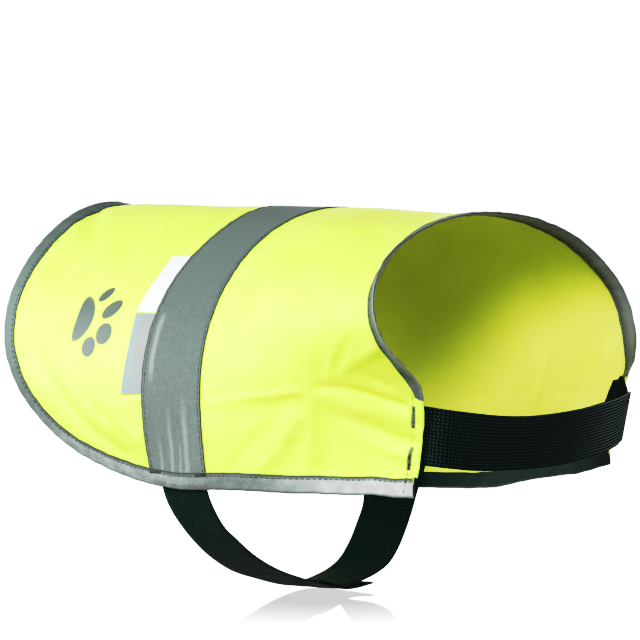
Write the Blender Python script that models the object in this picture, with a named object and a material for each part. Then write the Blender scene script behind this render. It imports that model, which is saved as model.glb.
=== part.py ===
"""Dog safety vest, filled out as if worn, with nobody in it.

Metres, +Z up. The neck faces -Y, the tail end +Y, and X runs across. The origin is on the underside
of the back panel, on the spine at the middle of the reflective band, where a wearer's back holds it.

Every piece is laid out flat first, as a maker cuts it: y runs along the spine and v across from it,
with v below 0 on the wearer's right. wrap() then bends the flat cloth into its worn form, so a seam
or a strip that lies on the panel is made from the panel's own points, moved out.
"""

import math

import bpy
import numpy as np

# ---------------------------------------------------------------- thicknesses
CLOTH = 0.0012  # woven polyester, the panel
TAPE = 0.0010  # reflective tape, labels and each leaf of a folded edge
WEBBING = 0.0018  # hook-and-loop straps
GAP = 0.0003  # clearance between sewn pieces
FOLD_REACH = CLOTH / 2 + GAP + TAPE  # from the cloth's cut edge to the outside of a fold round it

# ---------------------------------------------------------------- flat sizes
BAND_FRONT = 0.120  # the band's front edge, from the top of the neck scoop's zero line
BAND_WIDTH = 0.050
BINDING_WIDTH = 0.0105  # of each leaf, from the finished edge
FRONT_HEM_WIDTH = 0.0075
FRONT_HEM_START = 0.0070  # below the neck corner, clear of the neck binding
CHEST_STRAP_WIDTH = 0.031
CHEST_ROOT_RIGHT = 0.1930  # v of each chest strap's upper edge where it is sewn to the panel
CHEST_ROOT_LEFT = 0.1865
CHEST_ROOT_LENGTH = 0.012  # sewn inside the panel
BELLY_STRAP_WIDTH = 0.040
BELLY_ROOT_LENGTH = 0.018
LABEL_DEPTH = 0.0155  # how far the labels stand out behind the band
UPPER_LABEL = (-0.1275, -0.0825)  # v of its ends
LOWER_LABEL = (-0.1775, -0.1283)

ORIGIN_Y = BAND_FRONT + BAND_WIDTH / 2

# The finished neck edge, from the spine to the front corner: (v, y).
NECK_CUT = (
    (0.0, 0.0066),
    (0.012, 0.0060),
    (0.036, 0.0022),
    (0.072, -0.0020),
    (0.108, -0.0060),
    (0.143, -0.0145),
    (0.177, -0.0295),
)

# The finished hem, from the front corner along the side and round the tail to the spine: (y, v).
HEM_CUT = (
    (-0.0205, 0.2420),
    (-0.0050, 0.2445),
    (0.0150, 0.2445),
    (0.0400, 0.2425),
    (0.100, 0.2390),
    (0.160, 0.2340),
    (0.205, 0.2250),
    (0.241, 0.2115),
    (0.269, 0.1895),
    (0.2865, 0.1625),
    (0.2955, 0.1340),
    (0.302, 0.0950),
    (0.307, 0.0500),
    (0.309, 0.0),
)

# ---------------------------------------------------------------- worn form
# Slope of the cloth below level, in degrees, at these distances from the spine.
SLOPE_V = (0.0, 0.040, 0.080, 0.120, 0.160, 0.200, 0.240, 0.280)

# One row a section: (y, height of the spine, slopes down the right side, slopes down the left side).
SECTIONS = (
    (-0.035, 0.000, (0, 8, 26, 43, 114, 101, 82, 89), (0, 13, 25, 50, 118, 114, 84, 86)),
    (0.000, 0.000, (0, 8, 26, 43, 114, 101, 82, 89), (0, 13, 25, 50, 118, 114, 84, 86)),
    (0.040, 0.002, (0, 9, 28, 47, 101, 98, 87, 92), (0, 17, 31, 53, 106, 112, 92, 92)),
    (0.080, 0.004, (0, 11, 30, 52, 82, 94, 95, 96), (0, 23, 40, 60, 85, 107, 112, 104)),
    (0.165, 0.004, (0, 22, 34, 53, 80, 100, 101, 101), (0, 30, 43, 65, 90, 108, 117, 114)),
    (0.310, 0.005, (0, 22, 34, 53, 80, 100, 101, 101), (0, 30, 43, 65, 90, 108, 117, 114)),
)

# The chest strap pulls the left bottom corner up, and the right one hangs lower.
CORNER_PULL = 0.0050
PULL_LENGTH = 0.036  # how far behind the neck corner it has died out

# The neck edge turns outwards. Its reach at four places from the spine to the corner.
FLARE_DEPTH = 0.024  # how far behind the neck edge the turn starts
FLARE_V = (0.0, 0.0607, 0.1213, 0.182)
FLARE_RIGHT = (0.0026, 0.0044, 0.0115, 0.0010)
FLARE_LEFT = (0.0022, 0.0040, 0.0003, -0.0050)

# The tail's edge curls in.
TAIL_CENTRE_Y = 0.165
TAIL_CURL = 0.0040
TAIL_CURL_WIDTH = 0.018

# Free run of the chest strap's outer layer, from the right front edge to its cut end:
# (x, y, z) of its top edge, then of its bottom edge, with y and z from the flat zero line.
CHEST_RUN = (
    ((-0.0990, -0.0370, -0.1055), (-0.0975, -0.0330, -0.1370)),
    ((-0.0800, -0.0440, -0.1065), (-0.0800, -0.0400, -0.1385)),
    ((-0.0450, -0.0480, -0.1100), (-0.0450, -0.0430, -0.1410)),
    ((0.0000, -0.0490, -0.1115), (0.0000, -0.0430, -0.1425)),
    ((0.0420, -0.0455, -0.1095), (0.0400, -0.0390, -0.1405)),
    ((0.0650, -0.0415, -0.1065), (0.0630, -0.0355, -0.1370)),
    ((0.0820, -0.0370, -0.1040), (0.0800, -0.0320, -0.1335)),
)

# Free run of the belly strap's outer layer below the right hem: (x, z at its front edge, z at its rear edge).
BELLY_RUN = (
    (-0.1000, -0.1795, -0.1740),
    (-0.0880, -0.1890, -0.1873),
    (-0.0720, -0.2000, -0.2005),
    (-0.0520, -0.2100, -0.2125),
    (-0.0280, -0.2182, -0.2208),
    (-0.0040, -0.2245, -0.2270),
    (0.0180, -0.2290, -0.2300),
    (0.0400, -0.2278, -0.2290),
)
BELLY_OVERLAP_END = -0.030  # x where the inner layer's cut end lies
BELLY_OVERLAP_START = 0.010  # x where the inner layer leaves the outer one
# Free run of the inner layer up to the left hem: (x, z at its front edge, z at its rear edge).
BELLY_INNER_RUN = (
    (0.0340, -0.2240, -0.2250),
    (0.0440, -0.2215, -0.2225),
    (0.0555, -0.2165, -0.2170),
    (0.0640, -0.2085, -0.2085),
    (0.0720, -0.1970, -0.1970),
    (0.0785, -0.1850, -0.1850),
)

CHEST_OVERLAP_END = 0.020  # x where the left chest strap's cut end lies, behind the right one
CHEST_LEFT_RISE = 0.003  # how much higher the left one runs

# ---------------------------------------------------------------- mesh density
ACROSS = 74  # cells from one front corner round to the other
ALONG = 17  # cells of the panel between its two bindings


def smooth(at, knots, values):
    """Cubic curve through values at knots, with slopes from their neighbours, held level past both ends."""
    knots = np.asarray(knots, float)
    values = np.asarray(values, float)
    at = np.asarray(at, float)
    slopes = np.gradient(values, knots, axis=0)
    left = np.clip(np.searchsorted(knots, at, side="right") - 1, 0, len(knots) - 2)
    step = knots[left + 1] - knots[left]
    part = np.clip((at - knots[left]) / step, 0, 1)
    shape = at.shape + (1,) * (values.ndim - 1)
    step = step.reshape(shape)
    part = part.reshape(shape)
    return (
        (2 * part**3 - 3 * part**2 + 1) * values[left]
        + (part**3 - 2 * part**2 + part) * step * slopes[left]
        + (3 * part**2 - 2 * part**3) * values[left + 1]
        + (part**3 - part**2) * step * slopes[left + 1]
    )


def curve_through(points, count):
    """count points evenly spaced along the smooth curve through the given points."""
    points = np.asarray(points, float)
    reach = np.concatenate([[0], np.cumsum(np.linalg.norm(np.diff(points, axis=0), axis=1))])
    fine = smooth(np.linspace(0, reach[-1], 1200), reach, points)
    run = np.concatenate([[0], np.cumsum(np.linalg.norm(np.diff(fine, axis=0), axis=1))])
    even = np.linspace(0, run[-1], count)
    return np.stack([np.interp(even, run, fine[:, axis]) for axis in range(points.shape[1])], axis=1)


# ---------------------------------------------------------------- flat cloth to worn form
SECTION_Y = [row[0] for row in SECTIONS]
SPINE_HEIGHT = [row[1] for row in SECTIONS]
ORIGIN_Z = float(smooth(ORIGIN_Y, SECTION_Y, SPINE_HEIGHT)) - CLOTH / 2
FINE_V = np.arange(0, 0.2901, 0.001)


def section_side(y, distance, column):
    """x, z and slope at a distance from the spine, in the sections at y, on the side held in that column."""
    rows = smooth(y, SECTION_Y, [row[column] for row in SECTIONS])
    slope = np.radians(smooth(FINE_V, SLOPE_V, rows.T))
    step = FINE_V[1] - FINE_V[0]
    level = np.zeros((1, slope.shape[1]))
    out = np.vstack([level, np.cumsum((np.cos(slope[1:]) + np.cos(slope[:-1])) * step / 2, axis=0)])
    down = np.vstack([level, np.cumsum((np.sin(slope[1:]) + np.sin(slope[:-1])) * step / 2, axis=0)])
    place = np.clip(distance / step, 0, len(FINE_V) - 1.001)
    low = place.astype(int)
    part = place - low
    each = np.arange(len(low))

    def read(grid):
        return grid[low, each] * (1 - part) + grid[low + 1, each] * part

    return read(out), -read(down), read(slope)


def tail_curl(y, v):
    """How far the cloth at flat (y, v) curls in, near the round tail."""
    hem = curve_through(HEM_CUT, 800)
    hem_turn = np.arctan2(hem[:, 1], hem[:, 0] - TAIL_CENTRE_Y)[::-1]
    hem_reach = np.hypot(hem[:, 1], hem[:, 0] - TAIL_CENTRE_Y)[::-1]
    turn = np.arctan2(np.abs(v), y - TAIL_CENTRE_Y)
    inside = np.interp(turn, hem_turn, hem_reach) - np.hypot(v, y - TAIL_CENTRE_Y)
    fade = np.clip(2 * np.cos(turn), 0, 1)
    return TAIL_CURL * fade * np.clip(1 - inside / TAIL_CURL_WIDTH, 0, 1.3) ** 2


def bend(y, v):
    """The worn place of the middle of the panel's cloth at flat (y, v)."""
    y, v = np.broadcast_arrays(np.asarray(y, float), np.asarray(v, float))
    shape = y.shape
    y = y.ravel()
    v = v.ravel()
    neck_y = smooth(np.abs(v), *zip(*NECK_CUT))
    neck_v, corner_y = NECK_CUT[-1]
    down = np.clip((np.abs(v) - neck_v) / (HEM_CUT[0][1] - neck_v), 0, 1)
    v = v - CORNER_PULL * down * np.clip(1 - (y - corner_y) / PULL_LENGTH, 0, 1)
    distance = np.abs(v)
    right = v < 0
    x_right, z_right, slope_right = section_side(y, distance, 2)
    x_left, z_left, slope_left = section_side(y, distance, 3)
    x = np.where(right, x_right, x_left)
    z = np.where(right, z_right, z_left)
    slope = np.where(right, slope_right, slope_left)
    reach = np.where(right, smooth(distance, FLARE_V, FLARE_RIGHT), smooth(distance, FLARE_V, FLARE_LEFT))
    turn = reach * np.clip((neck_y + FLARE_DEPTH - y) / FLARE_DEPTH, 0, 1.6) ** 2 - tail_curl(y, v)
    x = x + turn * np.sin(slope)
    z = z + turn * np.cos(slope) + smooth(y, SECTION_Y, SPINE_HEIGHT)
    x = np.where(right, -x, x)
    return np.stack([x, y - ORIGIN_Y, z - ORIGIN_Z], axis=-1).reshape(shape + (3,))


def wrap(y, v, lift):
    """bend(), then moved out along the cloth's normal by lift."""
    near = 0.0005
    along = bend(np.asarray(y) + near, v) - bend(np.asarray(y) - near, v)
    across = bend(y, np.asarray(v) + near) - bend(y, np.asarray(v) - near)
    normal = np.cross(across, along)
    normal /= np.linalg.norm(normal, axis=-1, keepdims=True)
    return bend(y, v) + normal * np.asarray(lift)[..., None]


# ---------------------------------------------------------------- lifts, from the middle of the cloth
OUTER_FACE = CLOTH / 2
LEAF_NEAR = CLOTH / 2 + GAP  # the near and far face of what lies on the panel
LEAF_FAR = LEAF_NEAR + TAPE
LEAF = BINDING_WIDTH - FOLD_REACH  # a binding's leaf, from the cloth's cut edge
STRAP_ROOT = -(LEAF_FAR + 2 * GAP + WEBBING / 2)  # the middle of a strap sewn inside the folded edge
FOLD_TURNS = np.radians([60, 0, -60])  # points round a fold


# ---------------------------------------------------------------- flat outlines
def mirrored(half):
    """A full outline from its left half: right side first, with v below 0, then the left side."""
    right = half * np.array([1, -1])
    return np.concatenate([right, half[-2::-1]])


def neck_outline(count):
    half = curve_through([(y, v) for v, y in reversed(NECK_CUT)], 600)
    return resampled(mirrored(half), count)


def hem_outline(count):
    half = curve_through(HEM_CUT, 1500)
    return resampled(mirrored(half), count)


def resampled(line, count):
    run = np.concatenate([[0], np.cumsum(np.linalg.norm(np.diff(line, axis=0), axis=1))])
    even = np.linspace(0, run[-1], count)
    return np.stack([np.interp(even, run, line[:, axis]) for axis in range(2)], axis=1)


def front_y(v):
    """y of the straight front edge at a distance from the spine."""
    return np.interp(v, [NECK_CUT[-1][0], HEM_CUT[0][1]], [NECK_CUT[-1][1], HEM_CUT[0][0]])


def hem_v(y):
    """Distance of the finished hem from the spine at y, along the straight side."""
    hem = curve_through(HEM_CUT, 800)
    return np.interp(y, hem[:, 0], hem[:, 1])


def inset(line, distance):
    """A flat line moved square to itself by a distance, towards the middle of the vest."""
    step = np.gradient(line, axis=0)
    square = np.stack([-step[:, 1], step[:, 0]], axis=1)
    square /= np.linalg.norm(square, axis=1, keepdims=True)
    middle = len(line) // 2
    towards = np.array([ORIGIN_Y, 0.0]) - line[middle]
    return line + square * distance * np.sign(square[middle] @ towards)


# ---------------------------------------------------------------- solids
def material(name, colour, roughness, metallic=0.0):
    finish = bpy.data.materials.new(name)
    finish.use_nodes = True
    shader = finish.node_tree.nodes["Principled BSDF"]
    shader.inputs["Base Color"].default_value = (*colour, 1)
    shader.inputs["Roughness"].default_value = roughness
    shader.inputs["Metallic"].default_value = metallic
    return finish


def facing_sign(outer, inner):
    """+1 where the outer grid's winding points away from the inner grid, else -1."""
    normal = np.cross(np.gradient(outer, axis=0), np.gradient(outer, axis=1))
    return np.sign(np.sum(normal * (outer - inner)))


def sheet_solid(name, outer, inner, finish, collection):
    """One closed solid between two grids of the same size."""
    if facing_sign(outer, inner) < 0:
        outer = outer[::-1]
        inner = inner[::-1]
    rows, columns = outer.shape[:2]
    index = np.arange(rows * columns).reshape(rows, columns)
    under = index + rows * columns

    def quads(a, b, c, d):
        return np.stack([a.ravel(), b.ravel(), c.ravel(), d.ravel()], axis=1)

    faces = [quads(index[:-1, :-1], index[1:, :-1], index[1:, 1:], index[:-1, 1:])]
    faces.append(quads(under[:-1, :-1], under[:-1, 1:], under[1:, 1:], under[1:, :-1]))
    for edge, low in ((index[0], under[0]), (index[:, -1], under[:, -1])):
        faces.append(quads(edge[:-1], edge[1:], low[1:], low[:-1]))
    for edge, low in ((index[-1], under[-1]), (index[:, 0], under[:, 0])):
        faces.append(quads(edge[1:], edge[:-1], low[:-1], low[1:]))
    mesh = bpy.data.meshes.new(name)
    points = np.concatenate([outer.reshape(-1, 3), inner.reshape(-1, 3)])
    mesh.from_pydata(points.tolist(), [], np.concatenate(faces).tolist())
    mesh.materials.append(finish)
    mesh.shade_smooth()
    mesh.set_sharp_from_angle(angle=math.radians(40))
    solid = bpy.data.objects.new(name, mesh)
    collection.objects.link(solid)
    return solid


def thickened(middle, thickness):
    """The two faces of a strap, half its thickness to each side of its middle grid."""
    normal = np.cross(np.gradient(middle, axis=0), np.gradient(middle, axis=1))
    normal /= np.linalg.norm(normal, axis=-1, keepdims=True)
    return middle + normal * thickness / 2, middle - normal * thickness / 2


# ---------------------------------------------------------------- pieces
def panel_grid():
    """Flat points of the back panel: straight rulings from the neck scoop to the hem, closer at both edges.

    The cloth ends inside the folds, so its edge lies FOLD_REACH inside the finished outline.
    """
    neck = leaf_lines(neck_outline(ACROSS + 1))
    hem = leaf_lines(hem_outline(ACROSS + 1))
    for line in neck + hem:
        line[[0, -1], 0] += FOLD_REACH
    share = np.linspace(0, 1, ALONG + 1)[1:-1]
    between = [neck[-1] + (hem[-1] - neck[-1]) * part for part in share]
    return np.array(neck + between + hem[::-1])


def leaf_lines(edge):
    """Flat lines of the panel under a binding's leaf: at its cut edge, half way and at the leaf's end."""
    return [inset(edge, FOLD_REACH + LEAF * part) for part in (0.0, 0.5, 1.0)]


def back_panel(finish, collection):
    flat = panel_grid()
    y = flat[..., 0]
    v = flat[..., 1]
    outer = wrap(y, v, OUTER_FACE)
    inner = wrap(y, v, -OUTER_FACE)
    return sheet_solid("back_panel", outer, inner, finish, collection)


def folded_strip(name, edge, width, finish, collection):
    """A strip folded over a finished edge: an outer leaf, the fold and an inner leaf."""
    leaf = width - FOLD_REACH

    def loft(lift):
        path = [(leaf, lift), (leaf / 2, lift), (0.0, lift)]
        path += [(-lift * math.cos(turn), lift * math.sin(turn)) for turn in FOLD_TURNS]
        path += [(depth, -lift) for depth, _ in path[2::-1]]
        flat = np.array([inset(edge, FOLD_REACH + depth) for depth, _ in path])
        lifts = np.array([height for _, height in path])[:, None]
        return wrap(flat[..., 0], flat[..., 1], np.broadcast_to(lifts, flat.shape[:2]))

    return sheet_solid(name, loft(LEAF_FAR), loft(LEAF_NEAR), finish, collection)


def front_hems(finish, collection):
    """The panel's own cloth, folded back along both straight front edges, between the two bindings."""
    top = NECK_CUT[-1][0] + FRONT_HEM_START
    bottom = HEM_CUT[0][1] - BINDING_WIDTH - 2 * GAP
    v = np.linspace(top, bottom, 9)
    for side, word in ((-1, "right"), (1, "left")):
        line = np.stack([front_y(v), side * v], axis=1)
        folded_strip(f"front_hem_{word}", line, FRONT_HEM_WIDTH, finish, collection)


def on_panel(name, y, v, finish, collection):
    """A flat piece lying on the panel, made from the panel's points moved out."""
    outer = wrap(y, v, LEAF_FAR)
    inner = wrap(y, v, LEAF_NEAR)
    return sheet_solid(name, outer, inner, finish, collection)


def reflective_band(finish, collection):
    y = BAND_FRONT + BAND_WIDTH * np.linspace(0, 1, 4)
    reach = hem_v(y) - BINDING_WIDTH - GAP
    share = np.linspace(-1, 1, 109)
    v = share[:, None] * reach[None, :]
    return on_panel("reflective_band", np.broadcast_to(y, v.shape), v, finish, collection)


def label(name, ends, finish, collection):
    start = BAND_FRONT + BAND_WIDTH + GAP
    y = np.linspace(start, start + LABEL_DEPTH, 4)
    v = np.linspace(*ends, 9)
    across, along = np.meshgrid(v, y, indexing="ij")
    return on_panel(name, along, across, finish, collection)


# A strap is a list of rows along its length, each with STRAP_COLUMNS points across its width.
STRAP_COLUMNS = 5


def strap_solid(name, rows, count, finish, collection):
    """A strap whose middle follows smooth curves through the rows."""
    rows = np.asarray(rows, float)
    middle = curve_through(rows.reshape(len(rows), -1), count).reshape(count, STRAP_COLUMNS, 3)
    outer, inner = thickened(middle, WEBBING)
    return sheet_solid(name, outer, inner, finish, collection)


def straight_row(first, second):
    """A row across a strap's free run, from points with y and z from the flat zero line."""
    share = np.linspace(0, 1, STRAP_COLUMNS)[:, None]
    row = np.asarray(first) * (1 - share) + np.asarray(second) * share
    return row - np.array([0, ORIGIN_Y, ORIGIN_Z])


def beside(rows, distance, count):
    """Rows of a layer that runs at a distance inside the layer with these rows."""
    rows = np.asarray(rows, float)
    middle = curve_through(rows.reshape(len(rows), -1), count).reshape(count, STRAP_COLUMNS, 3)
    normal = np.cross(np.gradient(middle, axis=0), np.gradient(middle, axis=1))
    normal /= np.linalg.norm(normal, axis=-1, keepdims=True)
    return middle + normal * distance


def chest_root(side, top):
    """Rows where a chest strap lies inside the panel, from its sewn end to just past the front edge."""
    v = np.linspace(top, top + CHEST_STRAP_WIDTH, STRAP_COLUMNS)
    behind = CHEST_ROOT_LENGTH * np.array([1.0, 0.5, 0.0])
    return [wrap(front_y(v) + step, side * v, STRAP_ROOT) for step in behind]


def chest_straps(finish, collection):
    run = [straight_row(top, bottom) for top, bottom in CHEST_RUN]
    rows = chest_root(-1, CHEST_ROOT_RIGHT) + run
    strap_solid("chest_strap_right", rows, 44, finish, collection)
    # The left strap runs behind the right one, a little higher.
    behind = beside(run, WEBBING + 2 * GAP, 60)
    behind = behind[behind[:, 0, 0] > CHEST_OVERLAP_END] + np.array([0, 0, CHEST_LEFT_RISE])
    rows = chest_root(1, CHEST_ROOT_LEFT) + list(behind[::-6])
    strap_solid("chest_strap_left", rows, 32, finish, collection)


def belly_root(side):
    """Rows where a belly strap lies inside the hem, from its sewn end to just below the hem."""
    y = ORIGIN_Y + BELLY_STRAP_WIDTH * np.linspace(-0.5, 0.5, STRAP_COLUMNS)
    above = BELLY_ROOT_LENGTH * np.array([1.0, 0.5, 0.0])
    return [wrap(y, side * (hem_v(y) - step), STRAP_ROOT) for step in above]


def belly_rows(table):
    front = ORIGIN_Y - BELLY_STRAP_WIDTH / 2
    rear = ORIGIN_Y + BELLY_STRAP_WIDTH / 2
    return [straight_row((x, front, z_front), (x, rear, z_rear)) for x, z_front, z_rear in table]


def belly_straps(finish, collection):
    run = belly_rows(BELLY_RUN)
    strap_solid("belly_strap_right", belly_root(-1) + run, 48, finish, collection)
    above = beside(run, WEBBING + 2 * GAP, 80)
    above = above[(above[:, 0, 0] > BELLY_OVERLAP_END) & (above[:, 0, 0] < BELLY_OVERLAP_START)]
    rows = belly_root(1) + belly_rows(BELLY_INNER_RUN)[::-1] + list(above[::-5])
    strap_solid("belly_strap_left", rows, 40, finish, collection)


def build():
    for old in list(bpy.data.objects):
        bpy.data.objects.remove(old, do_unlink=True)
    vest = bpy.data.collections.new("dog_safety_vest")
    bpy.context.scene.collection.children.link(vest)

    yellow = material("fluorescent_cloth", (0.75, 1.0, 0.12), 0.75)
    silver = material("reflective_tape", (0.17, 0.23, 0.21), 0.5)
    black = material("strap_black", (0.004, 0.010, 0.009), 0.85)
    white = material("label_white", (0.80, 0.82, 0.80), 0.6)
    grey = material("label_grey", (0.50, 0.54, 0.53), 0.6)

    back_panel(yellow, vest)
    reflective_band(silver, vest)
    folded_strip("hem_binding", hem_outline(ACROSS + 1), BINDING_WIDTH, silver, vest)
    folded_strip("neck_binding", neck_outline(ACROSS + 1), BINDING_WIDTH, silver, vest)
    front_hems(yellow, vest)
    chest_straps(black, vest)
    belly_straps(black, vest)
    label("label_upper", UPPER_LABEL, white, vest)
    label("label_lower", LOWER_LABEL, grey, vest)


build()
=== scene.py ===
"""Looks of the dog safety vest: fine cloth, tape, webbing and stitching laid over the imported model.

Every piece is laid out flat first, as a maker cuts it: y runs along the spine and v across from it,
with v below 0 on the wearer's right. wrap() bends the flat cloth into its worn form.
"""

import math

import bpy
import numpy as np
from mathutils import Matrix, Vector


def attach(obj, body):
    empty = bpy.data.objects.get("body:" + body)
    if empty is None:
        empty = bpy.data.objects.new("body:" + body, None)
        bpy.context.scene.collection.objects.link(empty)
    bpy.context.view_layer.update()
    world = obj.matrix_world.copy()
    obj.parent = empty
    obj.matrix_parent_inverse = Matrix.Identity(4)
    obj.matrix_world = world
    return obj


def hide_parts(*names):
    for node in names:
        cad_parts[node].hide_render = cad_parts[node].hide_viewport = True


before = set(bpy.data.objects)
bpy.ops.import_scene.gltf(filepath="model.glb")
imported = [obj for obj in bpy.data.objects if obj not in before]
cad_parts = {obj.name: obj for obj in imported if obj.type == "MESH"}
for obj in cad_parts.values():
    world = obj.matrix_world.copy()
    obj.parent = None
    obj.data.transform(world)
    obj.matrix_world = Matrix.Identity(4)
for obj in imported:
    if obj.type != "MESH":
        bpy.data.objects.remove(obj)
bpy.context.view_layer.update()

# ---------------------------------------------------------------- thicknesses
CLOTH = 0.0012
TAPE = 0.0010
WEBBING = 0.0013
GAP = 0.0003
FOLD_REACH = CLOTH / 2 + GAP + TAPE  # from the cloth's cut edge to the outside of a fold round it
OUTER_FACE = 0.0003  # the looks use a thinner cloth than the solids

# ---------------------------------------------------------------- flat sizes
BAND_FRONT = 0.120
BAND_WIDTH = 0.050
BINDING_WIDTH = 0.0105
TUCK_LENGTH = 0.022  # over which a binding narrows to its tucked end
FRONT_HEM_WIDTH = 0.0075
FRONT_HEM_START = 0.0115
CHEST_STRAP_WIDTH = 0.031
CHEST_ROOT_RIGHT = 0.1930
CHEST_ROOT_LEFT = 0.1885
CHEST_ROOT_LENGTH = 0.012
BELLY_STRAP_WIDTH = 0.040
BELLY_ROOT_LENGTH = 0.018
LABEL_DEPTH = 0.0155
UPPER_LABEL = (-0.1275, -0.0825)
LOWER_LABEL = (-0.1775, -0.1283)
ORIGIN_Y = BAND_FRONT + BAND_WIDTH / 2

# The finished neck edge, from the spine to the front corner: (v, y).
NECK_CUT = (
    (0.0, 0.0066),
    (0.012, 0.0060),
    (0.036, 0.0022),
    (0.072, -0.0020),
    (0.108, -0.0060),
    (0.143, -0.0145),
    (0.177, -0.0295),
)

NECK_TAILS = ((0.1805, -0.0304), (0.1850, -0.0304), (0.1890, -0.0296))

# The finished hem, from the front corner along the side and round the tail to the spine: (y, v).
HEM_CUT = (
    (-0.0205, 0.2420),
    (-0.0050, 0.2445),
    (0.0150, 0.2445),
    (0.0400, 0.2425),
    (0.100, 0.2390),
    (0.160, 0.2340),
    (0.205, 0.2250),
    (0.241, 0.2115),
    (0.269, 0.1895),
    (0.2865, 0.1625),
    (0.2955, 0.1340),
    (0.302, 0.0950),
    (0.307, 0.0500),
    (0.309, 0.0),
)

# ---------------------------------------------------------------- worn form
SLOPE_V = (0.0, 0.040, 0.080, 0.120, 0.160, 0.200, 0.240, 0.280)
# (y, height of the spine, slopes down the right side, slopes down the left side)
SECTIONS = (
    (-0.035, 0.000, (0, 8, 26, 43, 114, 101, 82, 89), (0, 13, 25, 50, 118, 114, 84, 86)),
    (0.000, 0.000, (0, 8, 26, 43, 114, 101, 82, 89), (0, 13, 25, 50, 118, 114, 84, 86)),
    (0.040, 0.002, (0, 9, 28, 47, 101, 98, 87, 92), (0, 17, 31, 53, 106, 112, 92, 92)),
    (0.080, 0.004, (0, 11, 30, 52, 82, 94, 95, 96), (0, 23, 40, 60, 85, 107, 112, 104)),
    (0.165, 0.004, (0, 22, 34, 53, 80, 100, 101, 101), (0, 30, 43, 65, 90, 108, 117, 114)),
    (0.310, 0.005, (0, 22, 34, 53, 80, 100, 101, 101), (0, 30, 43, 65, 90, 108, 117, 114)),
)
CORNER_PULL = 0.0050
PULL_LENGTH = 0.036
FLARE_V = (0.0, 0.0607, 0.1213, 0.160, 0.182)
FLARE_DEPTH = (0.024, 0.022, 0.014, 0.014, 0.014)
FLARE_RIGHT = (0.0026, 0.0044, 0.0115, 0.0055, 0.0010)
FLARE_LEFT = (0.0022, 0.0040, 0.0003, -0.0035, -0.0110)
TAIL_CENTRE_Y = 0.165
# Round the tail, by the angle from the spine: how far the hem curls in, and how far its rim turns up again.
TAIL_TURNS = (0, 22, 38, 50, 60, 75, 90)
TAIL_CURLS = (0.0048, 0.0046, 0.0042, 0.0040, 0.0040, 0.0021, 0.0)
TAIL_RIMS = (0.0060, 0.0052, 0.0026, 0.0008, 0.0, 0.0, 0.0)
TAIL_CURL_WIDTH = 0.029
TAIL_RIM_WIDTH = 0.014

# Free run of the chest strap's outer layer: (x, y, z) of its top edge, then of its bottom edge.
CHEST_RUN = (
    ((-0.0990, -0.0370, -0.1036), (-0.0975, -0.0330, -0.1362)),
    ((-0.0800, -0.0440, -0.1066), (-0.0800, -0.0400, -0.1388)),
    ((-0.0450, -0.0480, -0.1103), (-0.0450, -0.0430, -0.1410)),
    ((0.0000, -0.0490, -0.1104), (0.0000, -0.0430, -0.1416)),
    ((0.0420, -0.0455, -0.1080), (0.0400, -0.0390, -0.1394)),
    ((0.0650, -0.0415, -0.1060), (0.0630, -0.0355, -0.1374)),
    ((0.0820, -0.0370, -0.1040), (0.0800, -0.0320, -0.1335)),
)
# Free run of the belly strap's outer layer: (x, z at its front edge, z at its rear edge).
BELLY_RUN = (
    (-0.1000, -0.1795, -0.1740),
    (-0.0880, -0.1890, -0.1873),
    (-0.0720, -0.2000, -0.2005),
    (-0.0520, -0.2100, -0.2125),
    (-0.0280, -0.2182, -0.2208),
    (-0.0040, -0.2245, -0.2270),
    (0.0180, -0.2290, -0.2300),
    (0.0400, -0.2278, -0.2290),
)
BELLY_OVERLAP_END = -0.012
BELLY_OVERLAP_START = 0.010
BELLY_INNER_RUN = (
    (0.0340, -0.2240, -0.2250),
    (0.0440, -0.2215, -0.2225),
    (0.0555, -0.2165, -0.2170),
    (0.0640, -0.2085, -0.2085),
    (0.0720, -0.1970, -0.1970),
    (0.0785, -0.1850, -0.1850),
)
CHEST_OVERLAP_END = 0.020
CHEST_LEFT_RISE = -0.0008
STRAP_COLUMNS = 5

# ---------------------------------------------------------------- lifts of the fine pieces
TAG_LIFT = OUTER_FACE + 0.00005
BAND_NEAR = OUTER_FACE + 0.0002
BAND_FAR = BAND_NEAR + 0.0004
LEAF_NEAR = OUTER_FACE + 0.00005
LEAF_FAR = LEAF_NEAR + 0.0004
BAND_STEP = 0.0006  # how far the hem binding rises where the band runs under it
CAD_LEAF_FAR = CLOTH / 2 + GAP + TAPE
STRAP_ROOT = -(CAD_LEAF_FAR + 2 * GAP + WEBBING / 2)

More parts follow.
